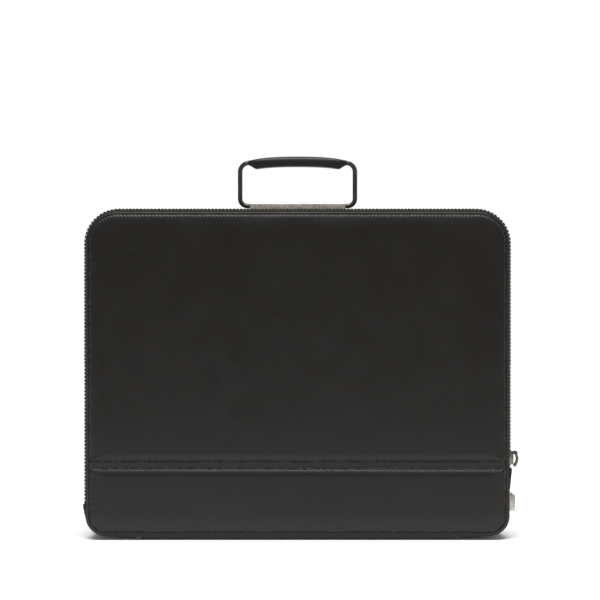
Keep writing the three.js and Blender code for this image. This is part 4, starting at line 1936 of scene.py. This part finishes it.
@dataclass(frozen=True)
class WireLoop:
    """The coated wire that turns in the bar and carries the grip.

    Attributes:
        radius: The wire's radius, in millimetres.
        span: Between the middles of its two uprights.
        foot_height: The height of its turned-in feet.
        top_height: The height of its top run.
        top_bend: The radius of its upper bends.
        foot_bend: The radius of its lower bends.
        tail: How far each foot reaches into the bar.
        sides: How many sides its section has.
        bend_steps: How many lengths each bend is cut into.
    """

    radius: float = 2.2
    span: float = 110.2
    foot_height: float = 316.2
    top_height: float = 357.6
    top_bend: float = 8.6
    foot_bend: float = 7.0
    tail: float = 12.0
    sides: int = 20
    bend_steps: int = 12

    def build(self) -> None:
        """Sweep the wire clockwise from the left end of the bar to the right end."""
        low, high = node_box("handle_bar")
        middle = (low.x + high.x) / 2
        left, right = middle - self.span / 2, middle + self.span / 2
        start = low.x + self.tail
        inwards = start - left - self.foot_bend
        foot, top = self.foot_height + self.foot_bend, self.top_height - self.top_bend
        piece = add_object(
            "wire_loop", bpy.ops.mesh.primitive_circle_add, (start, 0, self.foot_height),
            vertices=self.sides, radius=self.radius * MM, rotation=ACROSS_X,
        )
        legs = (
            Straight(Vector((-inwards, 0, 0)), 2),
            Bend(Vector((left + self.foot_bend, 0, foot)), 90, self.bend_steps),
            Straight(Vector((0, 0, top - foot)), 3),
            Bend(Vector((left + self.top_bend, 0, top)), 90, self.bend_steps),
            Straight(Vector((right - left - 2 * self.top_bend, 0, 0)), 4),
            Bend(Vector((right - self.top_bend, 0, top)), 90, self.bend_steps),
            Straight(Vector((0, 0, foot - top)), 3),
            Bend(Vector((right - self.foot_bend, 0, foot)), 90, self.bend_steps),
            Straight(Vector((-inwards, 0, 0)), 2),
        )
        with editing(piece):
            take_all()
            for leg in legs:
                leg.pull()
            close_ends()
        settle(piece, 40.0)
        hand_over(piece, COATING, Body.HANDLE, ["handle_wire"])


@dataclass(frozen=True)
class Grip:
    """The leather sleeve over the wire's top run, arched below and swelling towards its ends.

    Attributes:
        length: Its length, in millimetres.
        height: The unit of its heights.
        depth: The unit of its depths.
        stations: Rows of half-length, height above the wire, height below it, and half depth, in units.
        axis_height: The height of the wire's top run.
        fullness: How square its section is; 2 is an ellipse.
        sides: How many sides its section has.
        rim: How wide the rim of each end face is.
        rounding: How many times it is subdivided.
    """

    length: float = 94.6
    height: float = 9.4
    depth: float = 14.0
    stations: tuple[tuple[float, float, float, float], ...] = (
        (0.0, 0.66, 0.42, 0.5), (0.22, 0.65, 0.43, 0.5), (0.45, 0.61, 0.47, 0.5), (0.6, 0.55, 0.52, 0.495),
        (0.72, 0.49, 0.58, 0.475), (0.81, 0.42, 0.65, 0.43), (0.84, 0.39, 0.66, 0.41),
        (0.87, 0.36, 0.6, 0.375), (0.91, 0.32, 0.46, 0.31), (0.95, 0.285, 0.33, 0.235),
        (0.98, 0.26, 0.265, 0.185), (1.0, 0.238, 0.238, 0.16),
    )
    axis_height: float = 357.6
    fullness: float = 2.8
    sides: int = 24
    rim: float = 0.3
    rounding: int = 2

    def build(self) -> None:
        """Pull a ring through the stations and shape it at each one."""
        low, high = node_box("handle_grip")
        middle = (low.x + high.x) / 2
        rows = [(-a, up, down, deep) for a, up, down, deep in reversed(self.stations[1:])]
        rows += self.stations
        places = [middle + a * self.length / 2 for a, *_ in rows]
        piece = add_object(
            "grip_sleeve", bpy.ops.mesh.primitive_circle_add, (places[0], 0, self.axis_height),
            vertices=self.sides, radius=MM, rotation=ACROSS_X,
        )
        with editing(piece):
            take_all()
            for here, there in zip(places, places[1:]):
                draw_out(x=there - here)
            close_ends()
        settle(piece)
        points = points_of(piece)
        angles = np.arctan2(points[:, 2] - self.axis_height, points[:, 1])
        station = np.abs(points[:, 0][:, None] - np.array(places)).argmin(axis=1)
        table = np.array(rows)[station]
        cosine, sine = np.cos(angles), np.sin(angles)
        power = 2 / self.fullness
        points[:, 1] = np.sign(cosine) * np.abs(cosine) ** power * table[:, 3] * self.depth
        upwards = np.where(sine > 0, table[:, 1], table[:, 2]) * self.height
        points[:, 2] = self.axis_height + np.sign(sine) * np.abs(sine) ** power * upwards
        move_points(piece, points)
        with editing(piece):
            pick(piece, Grade.FACES, lambda face: abs(face.normal.x) > 0.99)
            bpy.ops.mesh.inset(thickness=self.rim * MM)
        apply_modifier(piece, "SUBSURF", levels=self.rounding, render_levels=self.rounding)
        settle(piece, 60.0)
        hand_over(piece, GRIP_LEATHER, Body.HANDLE, ["handle_grip"])


@dataclass(frozen=True)
class Studio:
    """A pale floor, soft light and the camera at the photograph's viewing angle.

    Attributes:
        lens: The focal length, in millimetres.
        sensor: The sensor's width.
        camera: The camera's place, in millimetres.
        sight: How far it sees, in metres.
        glow: The strength of the soft light from all round.
        glow_colour: Its colour.
        sky_power: The strength of the broad light from above.
        sky_spread: How wide that light is, in degrees.
        sky_lean: How far it leans to the front, in degrees.
        floor_radius: How far the floor reaches behind and beside the case, in millimetres.
        floor_front: The y where it ends before the case.
    """

    lens: float = 95.74
    sensor: float = 36.0
    camera: tuple[float, float, float] = (-1.156, -1532.5, 226.0)
    sight: float = 100.0
    glow: float = 0.38
    glow_colour: Colour = (1.0, 0.955, 0.905)
    sky_power: float = 4.0
    sky_spread: float = 42.0
    sky_lean: float = 15.0
    floor_radius: float = 4000.0
    floor_front: float = -560.0

    def floor(self) -> None:
        """Lay the floor."""
        reach = (self.floor_radius - self.floor_front) / 2
        middle = Vector((0, self.floor_front + reach, 0))
        floor = add_object("studio_floor", bpy.ops.mesh.primitive_plane_add, middle, size=2 * MM)
        with editing(floor):
            take_all()
            scale_about(middle, self.floor_radius, reach)
        SHELF.paint(floor, Ground())

    def light(self) -> None:
        """Hang the broad light and light the room, which looks white to the camera."""
        turn = (math.radians(self.sky_lean), 0, 0)
        lamp = add_object("broad_sky_light", bpy.ops.object.light_add, type="SUN", rotation=turn)
        lamp.data.energy = self.sky_power
        lamp.data.angle = math.radians(self.sky_spread)
        world = bpy.data.worlds.new("studio_room")
        bpy.context.scene.world = world
        world.use_nodes = True
        nodes, links = world.node_tree.nodes, world.node_tree.links
        nodes.clear()
        glow, white = nodes.new("ShaderNodeBackground"), nodes.new("ShaderNodeBackground")
        glow.inputs["Strength"].default_value = self.glow
        glow.inputs["Color"].default_value = (*self.glow_colour, 1)
        white.inputs["Color"].default_value = (1, 1, 1, 1)
        path, mix = nodes.new("ShaderNodeLightPath"), nodes.new("ShaderNodeMixShader")
        output = nodes.new("ShaderNodeOutputWorld")
        links.new(path.outputs["Is Camera Ray"], mix.inputs[0])
        links.new(glow.outputs[0], mix.inputs[1])
        links.new(white.outputs[0], mix.inputs[2])
        links.new(mix.outputs[0], output.inputs[0])

    def aim(self) -> None:
        """Set up the camera, level and looking straight at the front."""
        level = (math.pi / 2, 0, 0)
        camera = add_object("photo_camera", bpy.ops.object.camera_add, self.camera, rotation=level)
        camera.data.lens = self.lens
        camera.data.sensor_width = self.sensor
        camera.data.clip_end = self.sight
        scene = bpy.context.scene
        scene.camera = camera
        scene.view_settings.view_transform = "Standard"

    def build(self) -> None:
        """Make the floor, the light and the camera."""
        self.floor()
        self.light()
        self.aim()


@dataclass(frozen=True)
class Panels:
    """The two padded front panels, with the cross seam between them, and the back one.

    Attributes:
        outline: The case's outer edge.
        spacing: The distance between the binding's stitches, in millimetres.
        seam_spacing: The distance between the cross seam's stitches.
        seat: How far from the case's middle plane their inner sides lie.
        groove: How far from it their edges go under the stitches.
        front_crown: How far before it the front is crowned.
        back_crown: How far behind it the back is.
        seam_top: The height of the upper panel's lower edge.
        seam_base: The height of the lower panel's upper edge.
        seam_corner: The radius of the corners at the seam.
        upper_rim: How much of its crown's rise the upper panel's rim at the seam has.
        points_each: How many points an edge has for each stitch.
    """

    outline: CaseOutline
    spacing: float
    seam_spacing: float
    seat: float = 29.8
    groove: float = 32.0
    front_crown: float = 35.4
    back_crown: float = 34.2
    seam_top: float = 74.75
    seam_base: float = 67.15
    seam_corner: float = 0.6
    upper_rim: float = 0.42
    points_each: int = 4

    def ends(self, height: float, radius: float, up: int) -> tuple[Corner, Corner]:
        """The left and the right corner at a height; up is 1 for upper corners and -1 for lower ones."""
        side = self.outline.sewn(self.outline.middle)
        left, right = self.outline.left + side, self.outline.right - side
        return Corner(left, height, radius, (-1, up)), Corner(right, height, radius, (1, up))

    def build(self) -> None:
        """Make the three panels."""
        outline = self.outline
        side, above = outline.sewn(outline.middle), outline.sewn(outline.top)
        upper = self.ends(outline.top - above, outline.top_radius - side, 1)
        lower = self.ends(outline.base + side, outline.base_radius - side, -1)[::-1]
        seam_upper = self.ends(self.seam_top, self.seam_corner, -1)[::-1]
        seam_lower = self.ends(self.seam_base, self.seam_corner, 1)
        step = self.spacing / self.points_each
        front = {"seat": -self.seat, "groove": -self.groove, "crown": -self.front_crown, "spacing": step}
        back = {"seat": self.seat, "groove": self.groove, "crown": self.back_crown, "spacing": step}
        for face in (
            PaddedFace(
                "padded_front_upper", "front_upper_panel", upper + seam_upper,
                **front, seam_side=-1, seam_rim=self.upper_rim,
            ),
            PaddedFace("padded_front_lower", "front_lower_panel", seam_lower + lower, **front, seam_side=1),
            PaddedFace("padded_back", "back_panel", upper + lower, **back),
        ):
            face.build(outline, self.spacing, self.seam_spacing)


def main() -> None:
    """Build the briefcase piece by piece, then the studio."""
    logging.basicConfig(level=logging.INFO, format="%(name)s %(message)s")
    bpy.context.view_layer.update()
    low, high = node_box("front_binding")
    outline = CaseOutline(low.x, high.x, low.z, high.z)
    tape_low, _ = node_box("zip_tape_front")
    _, base_high = node_box("base_gusset")
    right_end = base_high.z + JOINT
    binding, seam = EdgeBinding(outline), CrossSeam(outline)
    binding.build()
    Panels(outline, binding.spacing, seam.stitch.pitch).build()
    seam.build()
    Gussets(outline, tape_low.z, right_end).build()
    ZipRun(outline, tape_low.z, right_end).build()
    EndTab("end_tab_left", "zip_tab_left", -1).build()
    EndTab("end_tab_right", "zip_tab_right", 1).build()
    SmallMetal("lock_body", "lock_block").build()
    SmallMetal("slider_body", "zip_slider", Body.CASE, SLIDER_METAL, 0.25).build()
    SmallMetal("puller_plate", "zip_puller", Body.PULLER, SLIDER_METAL, 0.3).build()
    Stud().build()
    RibbedBar().build()
    WireLoop().build()
    Grip().build()
    Studio().build()


if __name__ == "__main__":
    main()
